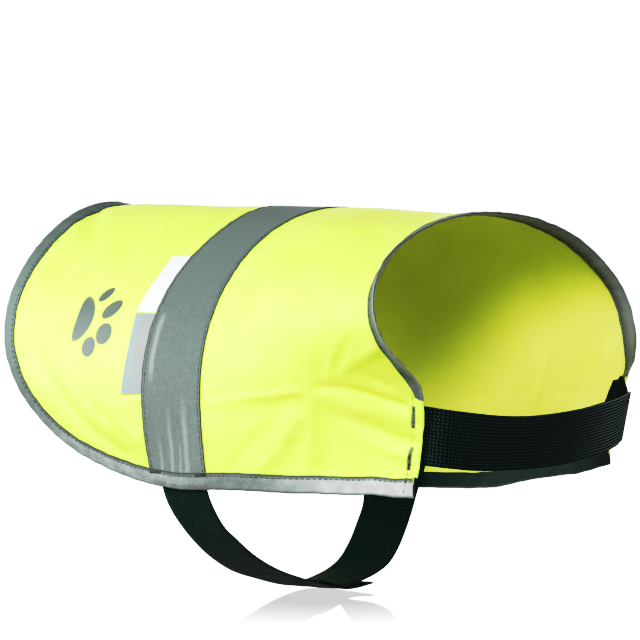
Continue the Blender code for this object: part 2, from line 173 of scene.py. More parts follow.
# ---------------------------------------------------------------- creases laid one by one
# One row a crease, in millimetres: (path of (y, v), half width, height at its start, height at its end).
# A height above 0 stands outwards.
CREASES_RIGHT = (
    # round the tail, inside the hem
    (
        ((292, -80), (283, -117), (267, -147), (253, -164), (240, -178), (221, -196), (189, -215)),
        4.5, -1.0, -1.2,
    ),
    (((283, -100), (270, -134), (245, -160), (229, -172), (205, -190), (176, -205)), 6.5, 0.9, 1.0),
    (((236, -168), (214, -183), (185, -203)), 3.0, -0.5, -0.7),
    # hanging from the tail's upper edge
    (((297, -26), (285, -42), (273, -57), (258, -76)), 5.5, -2.2, -0.3),
    (((300, -48), (284, -62), (270, -76)), 4.5, 1.1, 0.1),
    # beside the band's top
    (((182, -10), (175, -34), (173, -52), (177, -76)), 3.0, 0.7, 0.5),
    (((188, -22), (181, -44), (183, -66)), 4.0, -0.7, -0.3),
    # the star beside the front corner: its upright ridge, and the hollow in front of it
    (((40, -150), (42, -168), (44, -184), (46, -203), (47, -222)), 3.0, 0.4, 1.0),
    (((33, -192), (37, -203), (38, -216), (36, -228)), 6.0, -0.5, -1.1),
    # its folds to the front: ridge, sharp hollow, broad ridge, hollow, ridge
    (((35, -177), (20, -171), (7, -165), (-5, -159)), 4.0, 0.3, 1.7),
    (((38, -181), (23, -183), (10, -187), (-2, -191), (-14, -193)), 2.8, -0.8, -1.2),
    (((2, -178), (-5, -182)), 3.2, -1.1, -1.0),
    (((38, -187), (21, -194), (4, -199), (-16, -201)), 4.5, 0.6, 0.9),
    (((28, -199), (8, -207), (-4, -212), (-18, -213)), 4.0, -0.6, -1.8),
    (((14, -214), (2, -219), (-14, -221)), 3.5, 0.4, 1.1),
    # its folds to the rear and down
    (((52, -183), (69, -185), (89, -186), (112, -188)), 2.4, 1.1, 0.5),
    (((58, -189), (76, -193), (94, -197)), 5.5, -0.9, -0.5),
    (((66, -196), (77, -207), (89, -218), (98, -227)), 4.0, -0.6, -1.2),
    (((54, -199), (63, -211), (72, -222), (82, -230)), 4.0, 0.9, 1.3),
    (((58, -213), (55, -223)), 3.5, -1.0, -0.9),
    # its short rays upwards
    (((31, -172), (25, -161), (19, -151)), 2.6, 0.8, 0.3),
    (((25, -171), (17, -160), (10, -152)), 2.6, -0.7, -0.3),
    (((15, -165), (7, -155)), 2.6, 0.5, 0.3),
    # across the front
    (((40, -66), (28, -76), (24, -92)), 7.0, -0.8, -0.3),
    (((92, -34), (56, -42), (34, -26)), 6.0, -0.6, -0.5),
    (((84, -60), (58, -66), (30, -52)), 6.0, 0.4, 0.3),
    (((204, -183), (190, -185), (178, -182)), 3.0, 0.5, 0.3),
    (((110, -120), (92, -146), (84, -172)), 9.0, 0.4, 0.3),
    (((232, -90), (222, -120), (206, -160)), 10.0, 0.3, 0.4),
)
CREASES_LEFT = (
    (((290, 88), (278, 124), (262, 152), (238, 178), (212, 200), (184, 214)), 5.5, -0.8, -0.8),
    (((280, 104), (262, 138), (240, 164), (206, 190)), 7.0, 0.7, 0.6),
    (((296, 30), (281, 50), (262, 66)), 6.0, -1.2, -0.2),
    (((180, 14), (176, 42), (181, 80)), 3.5, 0.6, 0.3),
    (((38, 178), (24, 172), (2, 168)), 4.0, -0.3, -1.1),
    (((40, 184), (18, 192), (-12, 198)), 4.0, 0.4, 1.0),
    (((44, 150), (46, 176), (50, 208)), 3.5, 0.3, 0.7),
    (((52, 180), (76, 186), (104, 184)), 4.0, -0.7, -0.3),
    (((56, 200), (74, 216), (92, 226)), 4.5, 0.8, 0.7),
    (((40, 194), (14, 206), (-10, 218)), 5.0, -0.4, -1.0),
    (((44, 60), (30, 78), (28, 98)), 7.0, -0.7, -0.3),
    (((96, 30), (60, 40), (38, 30)), 6.0, -0.5, -0.4),
    (((112, 118), (96, 150), (88, 180)), 9.0, 0.4, 0.3),
    (((234, 94), (220, 126), (204, 158)), 10.0, 0.4, 0.3),
    (((208, 60), (226, 76), (250, 84)), 8.0, -0.5, -0.2),
    (((60, 110), (78, 128), (84, 150)), 8.0, -0.4, -0.2),
)
# The same for the band alone, which gathers where the belly strap pulls on it.
BAND_CREASES = (
    (((162, -138), (161, -155), (162, -171)), 1.6, 0.5, 0.3),
    (((147, -190), (147, -209), (147, -224)), 2.0, 0.2, 0.6),
    (((133, -186), (133, -207), (134, -224)), 2.6, 0.2, 0.5),
    (((156, -202), (156, -215), (155, -226)), 1.6, 0.2, 0.5),
    (((140, -196), (140, -210), (140, -224)), 2.0, -0.2, -0.6),
    (((126, -205), (126, -215), (126, -224)), 1.6, 0.2, 0.5),
    (((146, 186), (148, 206), (147, 222)), 2.0, 0.3, 0.8),
    (((134, 190), (132, 206), (133, 222)), 2.2, 0.3, 0.7),
    (((157, 200), (156, 212), (156, 224)), 1.6, 0.3, 0.7),
    (((140, 196), (140, 210), (141, 224)), 2.0, -0.2, -0.6),
    (((163, 120), (161, 144), (163, 160)), 1.6, 0.4, 0.2),
)


# ---------------------------------------------------------------- curves
def smooth(at, knots, values):
    """Cubic curve through values at knots, with slopes from their neighbours, held level past both ends."""
    knots = np.asarray(knots, float)
    values = np.asarray(values, float)
    at = np.asarray(at, float)
    slopes = np.gradient(values, knots, axis=0)
    left = np.clip(np.searchsorted(knots, at, side="right") - 1, 0, len(knots) - 2)
    step = knots[left + 1] - knots[left]
    part = np.clip((at - knots[left]) / step, 0, 1)
    shape = at.shape + (1,) * (values.ndim - 1)
    step = step.reshape(shape)
    part = part.reshape(shape)
    return (
        (2 * part**3 - 3 * part**2 + 1) * values[left]
        + (part**3 - 2 * part**2 + part) * step * slopes[left]
        + (3 * part**2 - 2 * part**3) * values[left + 1]
        + (part**3 - part**2) * step * slopes[left + 1]
    )


def run_along(points):
    """Distance along a line of points, from its start."""
    return np.concatenate([[0], np.cumsum(np.linalg.norm(np.diff(points, axis=0), axis=1))])


def curve_through(points, count):
    """count points evenly spaced along the smooth curve through the given points."""
    points = np.asarray(points, float)
    reach = run_along(points)
    fine = smooth(np.linspace(0, reach[-1], 2400), reach, points)
    return resampled(fine, count)


def resampled(line, count):
    run = run_along(line)
    even = np.linspace(0, run[-1], count)
    return np.stack([np.interp(even, run, line[:, axis]) for axis in range(line.shape[1])], axis=1)


def ripple(run, seed, longest, shortest):
    """A wave between about -1 and 1 along a seam: a sum of six sines of uneven length and start."""
    draw = np.random.default_rng(seed)
    lengths = np.geomspace(longest, shortest, 6) * draw.uniform(0.85, 1.15, 6)
    starts = draw.uniform(0, 2 * math.pi, 6)
    run = np.asarray(run)[..., None]
    return np.sin(2 * math.pi * run / lengths + starts).sum(-1) / 3


def bell(distance, width):
    """1 at distance 0, falling to 0 as exp(-(distance / width) squared)."""
    return np.exp(-((distance / width) ** 2))


# ---------------------------------------------------------------- flat cloth to worn form
SECTION_Y = [row[0] for row in SECTIONS]
SPINE_HEIGHT = [row[1] for row in SECTIONS]
ORIGIN_Z = float(smooth(ORIGIN_Y, SECTION_Y, SPINE_HEIGHT)) - CLOTH / 2
TABLE_Y = np.arange(-0.050, 0.3221, 0.001)
TABLE_V = np.arange(0, 0.2901, 0.0005)


def side_table(column):
    """x, z and slope of one side at TABLE_Y by TABLE_V: the slopes are smooth curves through the sections,
    and x and z are the running sums of their cosines and sines."""
    rows = smooth(TABLE_Y, SECTION_Y, [row[column] for row in SECTIONS])
    slope = np.radians(smooth(TABLE_V, SLOPE_V, rows.T))
    step = TABLE_V[1]
    level = np.zeros((1, slope.shape[1]))
    out = np.vstack([level, np.cumsum((np.cos(slope[1:]) + np.cos(slope[:-1])) * step / 2, axis=0)])
    down = np.vstack([level, np.cumsum((np.sin(slope[1:]) + np.sin(slope[:-1])) * step / 2, axis=0)])
    return np.stack([out, -down, slope], axis=-1)


SIDE_TABLES = (side_table(2), side_table(3))


def between_steps(table, row, column):
    """The table at a fractional row and column, linear both ways."""
    row = np.clip(row, 0, table.shape[0] - 1.001)
    column = np.clip(column, 0, table.shape[1] - 1.001)
    low, left = row.astype(int), column.astype(int)
    shape = row.shape + (1,) * (table.ndim - 2)
    down, along = (row - low).reshape(shape), (column - left).reshape(shape)
    before = table[low, left] * (1 - down) + table[low + 1, left] * down
    after = table[low, left + 1] * (1 - down) + table[low + 1, left + 1] * down
    return before * (1 - along) + after * along


def read_side(table, y, distance):
    place_y = (y - TABLE_Y[0]) / (TABLE_Y[1] - TABLE_Y[0])
    return np.moveaxis(between_steps(table, distance / TABLE_V[1], place_y), -1, 0)


HEM_FINE = curve_through(HEM_CUT, 1500)
HEM_TURN = np.arctan2(HEM_FINE[:, 1], HEM_FINE[:, 0] - TAIL_CENTRE_Y)[::-1]
HEM_REACH = np.hypot(HEM_FINE[:, 1], HEM_FINE[:, 0] - TAIL_CENTRE_Y)[::-1]


def tail_curl(y, v):
    """How far the cloth at flat (y, v) curls in, near the round tail: it grows with the square of the
    nearness to the hem, measured from a centre between both sides, and beside the spine the rim turns up
    again in the same way."""
    turn = np.arctan2(np.abs(v), y - TAIL_CENTRE_Y)
    inside = np.interp(turn, HEM_TURN, HEM_REACH) - np.hypot(v, y - TAIL_CENTRE_Y)
    turn = np.degrees(turn)
    curl = smooth(turn, TAIL_TURNS, TAIL_CURLS) * np.clip(1 - inside / TAIL_CURL_WIDTH, 0, 1.3) ** 2
    return curl - smooth(turn, TAIL_TURNS, TAIL_RIMS) * np.clip(1 - inside / TAIL_RIM_WIDTH, 0, 1.1) ** 2


def bend(y, v):
    """The worn place of the middle of the panel's cloth at flat (y, v)."""
    y, v = np.broadcast_arrays(np.asarray(y, float), np.asarray(v, float))
    neck_y = smooth(np.abs(v), *zip(*NECK_CUT))
    neck_v, corner_y = NECK_CUT[-1]
    down = np.clip((np.abs(v) - neck_v) / (HEM_CUT[0][1] - neck_v), 0, 1)
    v = v - CORNER_PULL * down * np.clip(1 - (y - corner_y) / PULL_LENGTH, 0, 1)
    distance = np.abs(v)
    right = v < 0
    x, z, slope = np.where(
        right, read_side(SIDE_TABLES[0], y, distance), read_side(SIDE_TABLES[1], y, distance)
    )
    reach = np.where(right, smooth(distance, FLARE_V, FLARE_RIGHT), smooth(distance, FLARE_V, FLARE_LEFT))
    depth = smooth(distance, FLARE_V, FLARE_DEPTH)
    turn = reach * np.clip((neck_y + depth - y) / depth, 0, 1.6) ** 2 - tail_curl(y, v)
    x = x + turn * np.sin(slope)
    z = z + turn * np.cos(slope) + smooth(y, SECTION_Y, SPINE_HEIGHT)
    x = np.where(right, -x, x)
    return np.stack([x, y - ORIGIN_Y, z - ORIGIN_Z], axis=-1)


FOLD_STEP = 0.0005
FOLD_Y = np.arange(-0.052, 0.3241, FOLD_STEP)
FOLD_V = np.arange(-0.290, 0.2901, FOLD_STEP)


def fold_table(creases):
    """Height of the creases over a flat grid, FOLD_Y by FOLD_V: each is a bell of its half width about its
    path, and its height runs from start to end and dies out past both."""
    height = np.zeros((len(FOLD_Y), len(FOLD_V)))
    for path, width, first, last in creases:
        path = curve_through(np.array(path) / 1000, 24)
        width = width / 1000
        low, high = path.min(axis=0) - 3 * width, path.max(axis=0) + 3 * width
        rows = slice(*np.searchsorted(FOLD_Y, (low[0], high[0])))
        columns = slice(*np.searchsorted(FOLD_V, (low[1], high[1])))
        y, v = np.meshgrid(FOLD_Y[rows], FOLD_V[columns], indexing="ij")
        best = np.full(y.shape, np.inf)
        share = np.zeros_like(best)
        for index in range(len(path) - 1):
            start = path[index]
            step = path[index + 1] - start
            along = ((y - start[0]) * step[0] + (v - start[1]) * step[1]) / (step @ step)
            along = np.clip(along, 0, 1)
            gap = np.hypot(y - start[0] - along * step[0], v - start[1] - along * step[1])
            nearer = gap < best
            best = np.where(nearer, gap, best)
            share = np.where(nearer, (index + along) / (len(path) - 1), share)
        height[rows, columns] += (first * (1 - share) + last * share) / 1000 * bell(best, width)
    return height


PANEL_FOLDS = fold_table(CREASES_RIGHT + CREASES_LEFT)
BAND_FOLDS = fold_table(BAND_CREASES)


def read_folds(table, y, v):
    return between_steps(table, (y - FOLD_Y[0]) / FOLD_STEP, (v - FOLD_V[0]) / FOLD_STEP)


def hem_v(y):
    """Distance of the finished hem from the spine at y, along the straight side."""
    return np.interp(y, HEM_FINE[:, 0], HEM_FINE[:, 1])


def hem_gap(y, v):
    """How far inside the finished hem flat (y, v) lies."""
    turn = np.arctan2(np.abs(v), y - TAIL_CENTRE_Y)
    tail = np.interp(turn, HEM_TURN, HEM_REACH) - np.hypot(v, y - TAIL_CENTRE_Y)
    side = hem_v(np.minimum(y, TAIL_CENTRE_Y)) - np.abs(v)
    return np.where(y > TAIL_CENTRE_Y, tail, side)


def seam_puckers(y, v):
    """Small gathers beside the seams: a ripple along each seam that dies out as a bell away from it."""
    hem = hem_gap(y, v)
    along_hem = np.where(y > TAIL_CENTRE_Y, np.arctan2(v, y - TAIL_CENTRE_Y) * 0.20, np.sign(v) * 0.42 - y)
    height = 0.00014 * ripple(along_hem, 11, 0.030, 0.009) * bell(np.maximum(hem - 0.011, 0), 0.008)
    for edge, seed in ((BAND_FRONT, 21), (BAND_FRONT + BAND_WIDTH, 22)):
        outside = np.abs(y - edge)
        height += 0.00013 * ripple(v, seed, 0.026, 0.008) * bell(outside, 0.006)
    neck = y - smooth(np.abs(v), *zip(*NECK_CUT))
    height += 0.00016 * ripple(v, 31, 0.028, 0.009) * bell(np.maximum(neck - 0.010, 0), 0.007)
    return height


def relief(y, v):
    """Height of every fold and pucker of the cloth over its smooth worn form."""
    y, v = np.broadcast_arrays(np.asarray(y, float), np.asarray(v, float))
    soft = 0.00035 * np.sin(y * 61 + v * 23 + 0.7) * np.sin(v * 47 - y * 19 + 1.9)
    edge = np.clip(hem_gap(y, v) / 0.020, 0.25, 1)
    return (read_folds(PANEL_FOLDS, y, v) + soft) * edge + seam_puckers(y, v)


def wrap(y, v, lift, folds=True):
    """bend(), then moved out along the cloth's normal by lift and the relief there."""
    y, v = np.broadcast_arrays(np.asarray(y, float), np.asarray(v, float))
    near = 0.001
    along = bend(y + near, v) - bend(y - near, v)
    across = bend(y, v + near) - bend(y, v - near)
    normal = np.cross(across, along)
    normal /= np.linalg.norm(normal, axis=-1, keepdims=True)
    height = np.broadcast_to(np.asarray(lift, float), y.shape)
    if folds:
        height = height + relief(y, v)
    return bend(y, v) + normal * height[..., None]


# ---------------------------------------------------------------- flat outlines
def mirrored(half):
    """A full outline from its left half: right side first, with v below 0, then the left side."""
    return np.concatenate([half * np.array([1, -1]), half[-2::-1]])


def neck_outline(count, tails=()):
    """The finished neck edge; tails are (v, y) past its end, where the binding turns down the front."""
    rows = NECK_CUT + tuple(tails)
    return resampled(mirrored(curve_through([(y, v) for v, y in reversed(rows)], 600)), count)


def hem_outline(count):
    return resampled(mirrored(HEM_FINE), count)


def front_y(v):
    """y of the straight front edge at a distance from the spine."""
    return np.interp(v, [NECK_CUT[-1][0], HEM_CUT[0][1]], [NECK_CUT[-1][1], HEM_CUT[0][0]])


def square_off(line):
    """The step along a flat line at each of its points, and the unit direction square to it."""
    step = np.gradient(line, axis=0)
    square = np.stack([-step[:, 1], step[:, 0]], axis=1)
    return step, square / np.linalg.norm(square, axis=1, keepdims=True)


def inset(line, distance):
    """A flat line moved square to itself by a distance, towards the middle of the vest."""
    _, square = square_off(line)
    middle = len(line) // 2
    towards = np.array([ORIGIN_Y, 0.0]) - line[middle]
    distance = np.broadcast_to(np.asarray(distance, float), len(line))[:, None]
    return line + square * distance * np.sign(square[middle] @ towards)


# ---------------------------------------------------------------- meshes
def made_of(name, points, faces, cut=None):
    """An object at the origin. cut holds the UV of each point: its place on the flat cloth, in metres."""
    mesh = bpy.data.meshes.new(name)
    mesh.from_pydata(points.reshape(-1, 3).tolist(), [], faces)
    if cut is not None:
        corners = np.zeros(len(mesh.loops), np.int32)
        mesh.loops.foreach_get("vertex_index", corners)
        layer = mesh.uv_layers.new(name="cut")
        layer.data.foreach_set("uv", cut.reshape(-1, 2)[corners].astype(np.float32).ravel())
    piece = bpy.data.objects.new(name, mesh)
    bpy.context.scene.collection.objects.link(piece)
    return piece


def quads(a, b, c, d):
    return np.stack([a.ravel(), b.ravel(), c.ravel(), d.ravel()], axis=1)


def shell(name, outer, inner, cut, sharp=40):
    """One closed piece between two grids of the same size, both with the same places on the flat cloth."""
    normal = np.cross(np.gradient(outer, axis=0), np.gradient(outer, axis=1))
    if np.sum(normal * (outer - inner)) < 0:
        outer, inner, cut = outer[::-1], inner[::-1], cut[::-1]
    rows, columns = outer.shape[:2]
    index = np.arange(rows * columns).reshape(rows, columns)
    under = index + rows * columns
    faces = [quads(index[:-1, :-1], index[1:, :-1], index[1:, 1:], index[:-1, 1:])]
    faces.append(quads(under[:-1, :-1], under[:-1, 1:], under[1:, 1:], under[1:, :-1]))
    for edge, low in ((index[0], under[0]), (index[:, -1], under[:, -1])):
        faces.append(quads(edge[:-1], edge[1:], low[1:], low[:-1]))
    for edge, low in ((index[-1], under[-1]), (index[:, 0], under[:, 0])):
        faces.append(quads(edge[1:], edge[:-1], low[:-1], low[1:]))
    points = np.concatenate([outer.reshape(-1, 3), inner.reshape(-1, 3)])
    piece = made_of(name, points, np.concatenate(faces).tolist(), np.concatenate([cut, cut]))
    piece.data.shade_smooth()
    piece.data.set_sharp_from_angle(angle=math.radians(sharp))
    inside = piece.data.attributes.new("inside", "FLOAT", "POINT")
    inside.data.foreach_set("value", np.repeat([0.0, 1.0], rows * columns).astype(np.float32))
    return piece


def thread_shape(around=6, rings=5):
    """One stitch of length 1 and radius 1: rings of points whose radius falls as the root of a circle
    towards both ends, closed with a point at each."""
    along = np.sin(np.linspace(-1, 1, rings) * math.radians(62)) / 2
    radius = np.sqrt(np.clip(1 - (2 * along) ** 2, 0, 1)) ** 0.7
    turn = np.arange(around) * 2 * math.pi / around
    ring = np.stack(
        [
            np.repeat(along, around),
            (radius[:, None] * np.cos(turn)).ravel(),
            (radius[:, None] * np.sin(turn)).ravel(),
        ],
        axis=1,
    )
    points = np.concatenate([ring, [[-0.5, 0, 0], [0.5, 0, 0]]])
    index = np.arange(rings * around).reshape(rings, around)
    after = np.roll(index, -1, axis=1)
    sides = quads(index[:-1], index[1:], after[1:], after[:-1])
    first = quads(index[0] * 0 + rings * around, index[0], after[0], after[0])[:, :3]
    last = quads(index[-1] * 0 + rings * around + 1, after[-1], index[-1], index[-1])[:, :3]
    return points, sides, np.concatenate([first, last])


THREAD_POINTS, THREAD_SIDES, THREAD_ENDS = thread_shape()


def stitches(name, starts, ends, out, thickness=0.00025, flat=0.75, sink=0.3):
    """One mesh of stitches: each runs from its start to its end, is flattened along out, the cloth's
    normal there, and sinks a little into the cloth."""
    run = ends - starts
    length = np.linalg.norm(run, axis=1, keepdims=True)
    tangent = run / length
    side = np.cross(out, tangent)
    side /= np.linalg.norm(side, axis=1, keepdims=True)
    out = np.cross(tangent, side)
    middle = (starts + ends) / 2 + out * thickness * flat * (1 - sink)
    shape = THREAD_POINTS
    points = (
        middle[:, None]
        + tangent[:, None] * (shape[:, 0:1] * length[:, None])
        + side[:, None] * shape[:, 1:2] * thickness
        + out[:, None] * shape[:, 2:3] * thickness * flat
    )
    offset = (np.arange(len(starts)) * len(shape))[:, None, None]
    faces = (THREAD_SIDES[None] + offset).reshape(-1, 4).tolist()
    faces += (THREAD_ENDS[None] + offset).reshape(-1, 3).tolist()
    piece = made_of(name, points, faces)
    piece.data.shade_smooth()
    return piece


def seam(line, lift, pitch=0.0030, share=0.72, inner=False):
    """Starts, ends and normals of lock stitches along a flat line (y, v), at a lift over the cloth."""
    run = run_along(line)
    count = max(2, int(run[-1] / pitch))
    step = run[-1] / count
    first = (np.arange(count) + (1 - share) / 2) * step
    last = first + share * step

    def place(at, height):
        y = np.interp(at, run, line[:, 0])
        v = np.interp(at, run, line[:, 1])
        return wrap(y, v, np.interp(at, run, height))

    lift = np.broadcast_to(np.asarray(lift, float), len(line))
    out = place((first + last) / 2, lift + 0.001) - place((first + last) / 2, lift)
    out /= np.linalg.norm(out, axis=1, keepdims=True)
    return place(first, lift), place(last, lift), -out if inner else out


def tack(line, width, lift, rungs):
    """A bar tack: rungs of thread, close together and leaning, across a flat line (y, v)."""
    line = resampled(np.asarray(line, float), rungs)
    step, square = square_off(line)
    near = line - square * width / 2
    far = line + square * width / 2 + step * 0.5
    out = wrap(line[:, 0], line[:, 1], lift + 0.001) - wrap(line[:, 0], line[:, 1], lift)
    out /= np.linalg.norm(out, axis=1, keepdims=True)
    return wrap(near[:, 0], near[:, 1], lift), wrap(far[:, 0], far[:, 1], lift), out


def joined(*rows):
    """Several seams as one list of starts, ends and normals."""
    return [np.concatenate(part) for part in zip(*rows)]


# ---------------------------------------------------------------- materials
class Value:
    """A socket of numbers. An expression on it adds the Math nodes that work it out."""

    def __init__(self, finish, socket):
        self.finish = finish
        self.socket = socket

    def math(self, operation, *values):
        sockets = dict(enumerate(values))
        return self.finish.node("ShaderNodeMath", {"operation": operation}, sockets)

    def __add__(self, other):
        return self.math("ADD", self, other)

    def __sub__(self, other):
        return self.math("SUBTRACT", self, other)

    def __rsub__(self, other):
        return self.math("SUBTRACT", other, self)

    def __mul__(self, other):
        return self.math("MULTIPLY", self, other)

    __radd__ = __add__
    __rmul__ = __mul__

    def sine(self):
        return self.math("SINE", self)

    def size(self):
        return self.math("ABSOLUTE", self)

    def between(self, low, high):
        """0 at low, 1 at high, smooth between them."""
        return self.finish.node(
            "ShaderNodeMapRange",
            {"interpolation_type": "SMOOTHSTEP"},
            {"Value": self, "From Min": low, "From Max": high},
        )


class Finish:
    """A material, with its nodes made from expressions."""

    def __init__(self, name, **fixed):
        self.material = bpy.data.materials.new(name)
        self.material.use_nodes = True
        self.nodes = self.material.node_tree.nodes
        self.links = self.material.node_tree.links
        self.shader = self.nodes["Principled BSDF"]
        for socket, value in fixed.items():
            self.shader.inputs[socket.replace("_", " ")].default_value = value

    def node(self, kind, settings=None, sockets=None, out=0):
        """Adds a node: its settings first, with a ramp's stops as (place, value), then its sockets."""
        made = self.nodes.new(kind)
        for key, value in (settings or {}).items():
            if key == "stops":
                ramp = made.color_ramp
                while len(ramp.elements) < len(value):
                    ramp.elements.new(1)
                for stop, (place, level) in zip(ramp.elements, value):
                    stop.position = place
                    stop.color = (*level, 1) if isinstance(level, tuple) else (level, level, level, 1)
            else:
                setattr(made, key, value)
        for key, value in (sockets or {}).items():
            self.join(made.inputs[key], value)
        return Value(self, made.outputs[out])

    def join(self, socket, value):
        if isinstance(value, Value):
            self.links.new(value.socket, socket)
        elif isinstance(value, tuple) and len(value) == 3 and socket.type == "RGBA":
            socket.default_value = (*value, 1)
        else:
            socket.default_value = value

    def set(self, socket, value):
        self.join(self.shader.inputs[socket], value)

    def done(self, colour, roughness, normal):
        """The material, with its three main sockets filled."""
        self.set("Base Color", colour)
        self.set("Roughness", roughness)
        self.set("Normal", normal)
        return self.material

    def place(self):
        """Object coordinates, in metres."""
        return self.node("ShaderNodeTexCoord", out=3)

    def cut(self):
        """The two places on the flat cloth, in metres."""
        spot = self.node("ShaderNodeUVMap", {"uv_map": "cut"})
        split = self.nodes.new("ShaderNodeSeparateXYZ")
        self.links.new(spot.socket, split.inputs[0])
        return Value(self, split.outputs[0]), Value(self, split.outputs[1])

    def cloud(self, scale, detail=2.0):
        """Soft noise with features about 1 / scale metres across, from 0 to 1."""
        at = self.node("ShaderNodeMapping", None, {"Vector": self.place(), "Scale": (scale,) * 3})
        return self.node("ShaderNodeTexNoise", None, {"Vector": at, "Scale": 1.0, "Detail": detail})

    def flat_cloud(self, across, along, scales, detail=2.0):
        """Noise laid out on the flat cloth, so that it follows the surface: scales are per metre."""
        at = self.node("ShaderNodeCombineXYZ", None, {0: across * scales[0], 1: along * scales[1]})
        return self.node("ShaderNodeTexNoise", None, {"Vector": at, "Scale": 1.0, "Detail": detail})

    def mix(self, share, first, second):
        """first where share is 0, second where it is 1."""
        return self.node("ShaderNodeMix", {"data_type": "RGBA"}, {0: share, 6: first, 7: second}, out=2)

    def bump(self, height, distance, strength=1.0, normal=None):
        sockets = {"Height": height, "Distance": distance, "Strength": strength}
        if normal is not None:
            sockets["Normal"] = normal
        return self.node("ShaderNodeBump", None, sockets)


def cloth_finish():
    """Fluorescent woven polyester: fine crossed threads, a slow mottle and a faint grain. Its coated inner
    face, where the piece's attribute inside is 1, is a warmer yellow."""
    finish = Finish(
        "fluorescent_cloth", Specular_IOR_Level=0.22, Sheen_Weight=0.06, Sheen_Roughness=0.5
    )
    across, along = finish.cut()
    threads = (across * (2 * math.pi / 0.0007)).sine() * (along * (2 * math.pi / 0.0007)).sine()
    mottle = finish.cloud(38, 3)
    grain = finish.flat_cloud(across, along, (900, 900), 1)
    share = mottle.between(0.30, 0.72) * 0.6 + grain * 0.25
    outer = finish.mix(share, (0.600, 0.965, 0.118), (0.650, 0.985, 0.142))
    inner = finish.mix(share, (0.838, 0.910, 0.215), (0.866, 0.936, 0.262))
    inside = finish.node("ShaderNodeAttribute", {"attribute_name": "inside"}, out=2)
    weave = finish.bump(threads * 0.5 + grain, 0.00012, 0.6, finish.bump(mottle, 0.0012, 0.25))
    return finish.done(finish.mix(inside, outer, inner), 0.55 + mottle * 0.12, weave)


def tape_finish(name, marks):
    """Silver-grey glass-bead tape: a fine grain with faint paler clouds. marks gives four masks: painted
    shade along its edges, painted highlights and paler patches, where it lies near the spine, and painted
    shade over its inner leaf."""
    finish = Finish(name, Specular_IOR_Level=0.22)
    across, along = finish.cut()
    grain = finish.flat_cloud(across, along, (1150, 1150), 2)
    mottle = finish.flat_cloud(across, along, (260, 260), 3)
    edge_shade, highlight_and_pale, upper, inner_leaf_shade = marks(finish, across, along)
    colour = finish.mix(grain.between(0.25, 0.75), (0.074, 0.088, 0.084), (0.112, 0.130, 0.124))
    colour = finish.mix(mottle.between(0.42, 0.75) * 0.35, colour, (0.120, 0.138, 0.132))
    # painted highlight: pale grey where the marks give highlights and paler patches
    colour = finish.mix(highlight_and_pale * (0.45 + grain * 0.8), colour, (0.330, 0.352, 0.344))
    colour = finish.mix(upper, colour, (0.116, 0.139, 0.132))
    # painted shade: the inner leaf darkened to a near-black teal
    colour = finish.mix(inner_leaf_shade, colour, (0.020, 0.048, 0.050))
    # painted shade: dark olive lines along the edges
    colour = finish.mix(edge_shade, colour, (0.040, 0.048, 0.028))
    finish.set("Metallic", highlight_and_pale * 0.15)
    rough = finish.bump(grain, 0.00014, 0.6, finish.bump(mottle, 0.0004, 0.25))
    return finish.done(colour, 0.55 + grain * 0.2, rough)


# Painted highlights on the ridges near the band's ends: (y, half width, how far out each starts).
BAND_RIDGES = (
    (0.1480, 0.0030, 0.180),
    (0.1345, 0.0036, 0.174),
    (0.1570, 0.0022, 0.196),
    (0.1410, 0.0018, 0.196),
)


def band_marks(finish, across, along):
    """The band's: painted shade along its sewn edges, painted highlights as pale grain on the ridges near
    both ends and as a streak under the tag, and a paler tone towards both ends.
    """
    middle = BAND_FRONT + BAND_WIDTH / 2
    # painted shade along both sewn edges
    edge_shade = (along - middle).size().between(BAND_WIDTH / 2 - 0.0011, BAND_WIDTH / 2 - 0.0003) * 0.8
    low = across.size()
    sway = finish.flat_cloud(across, along, (34, 60), 1) * 0.006 - 0.003
    bow = along - (low - 0.205) * (low - 0.205) * 2.5 + sway
    ends = 0.0
    # painted highlights on the ridges near both ends
    for middle_y, half, start in BAND_RIDGES:
        line = 1 - (bow - middle_y).size().between(0, half)
        ends = line * low.between(start, start + 0.030) * 0.28 + ends
    # painted highlight: a pale streak under the tag
    streak = (1 - (along - 0.1625).size().between(0.0008, 0.0030)) * low.between(0.126, 0.134)
    streak = streak * (1 - low.between(0.160, 0.176))
    # the painted highlights, and a plain paler tone further from the spine
    highlight_and_pale = ends + streak * 0.32 + low.between(0.150, 0.225) * 0.17
    return edge_shade, highlight_and_pale, 1 - low.between(0.045, 0.150), 0.0


def hem_marks(finish, across, along):
    """The hem binding's: across runs from the outer leaf's edge over the fold, and along from the right
    front corner. Its marks are painted shade along the outer leaf's edge and over the inner leaf, and
    painted sheen on the leaf's crown towards the front and along the lower side."""
    # painted shade where the outer leaf's edge meets the cloth
    edge_shade = (1 - across.between(0.0002, 0.0012)) * 0.75
    crown = across.between(0.0010, 0.0030) * (1 - across.between(0.0085, 0.0105) * 0.7)
    cloudy = finish.flat_cloud(across, along, (120, 95), 3).between(0.38, 0.70)
    from_tail = (along - 0.4625).size()
    front = from_tail.between(0.345, 0.430)
    low = from_tail.between(0.140, 0.220) * (1 - from_tail.between(0.270, 0.330) * 0.6)
    # painted sheen on the leaf's crown, in cloudy patches, towards the front and along the lower side
    highlight_and_pale = low * crown * (0.34 + cloudy * 0.28) + front * crown * (0.66 + cloudy * 0.36)
    tail = 1 - from_tail.between(0.080, 0.180)
    # painted shade: the inner leaf darkened, a little less towards the front
    inner_leaf_shade = across.between(0.0112, 0.0128) * (0.95 - from_tail.between(0.390, 0.455) * 0.30)
    return edge_shade, highlight_and_pale, tail * 0.7, inner_leaf_shade


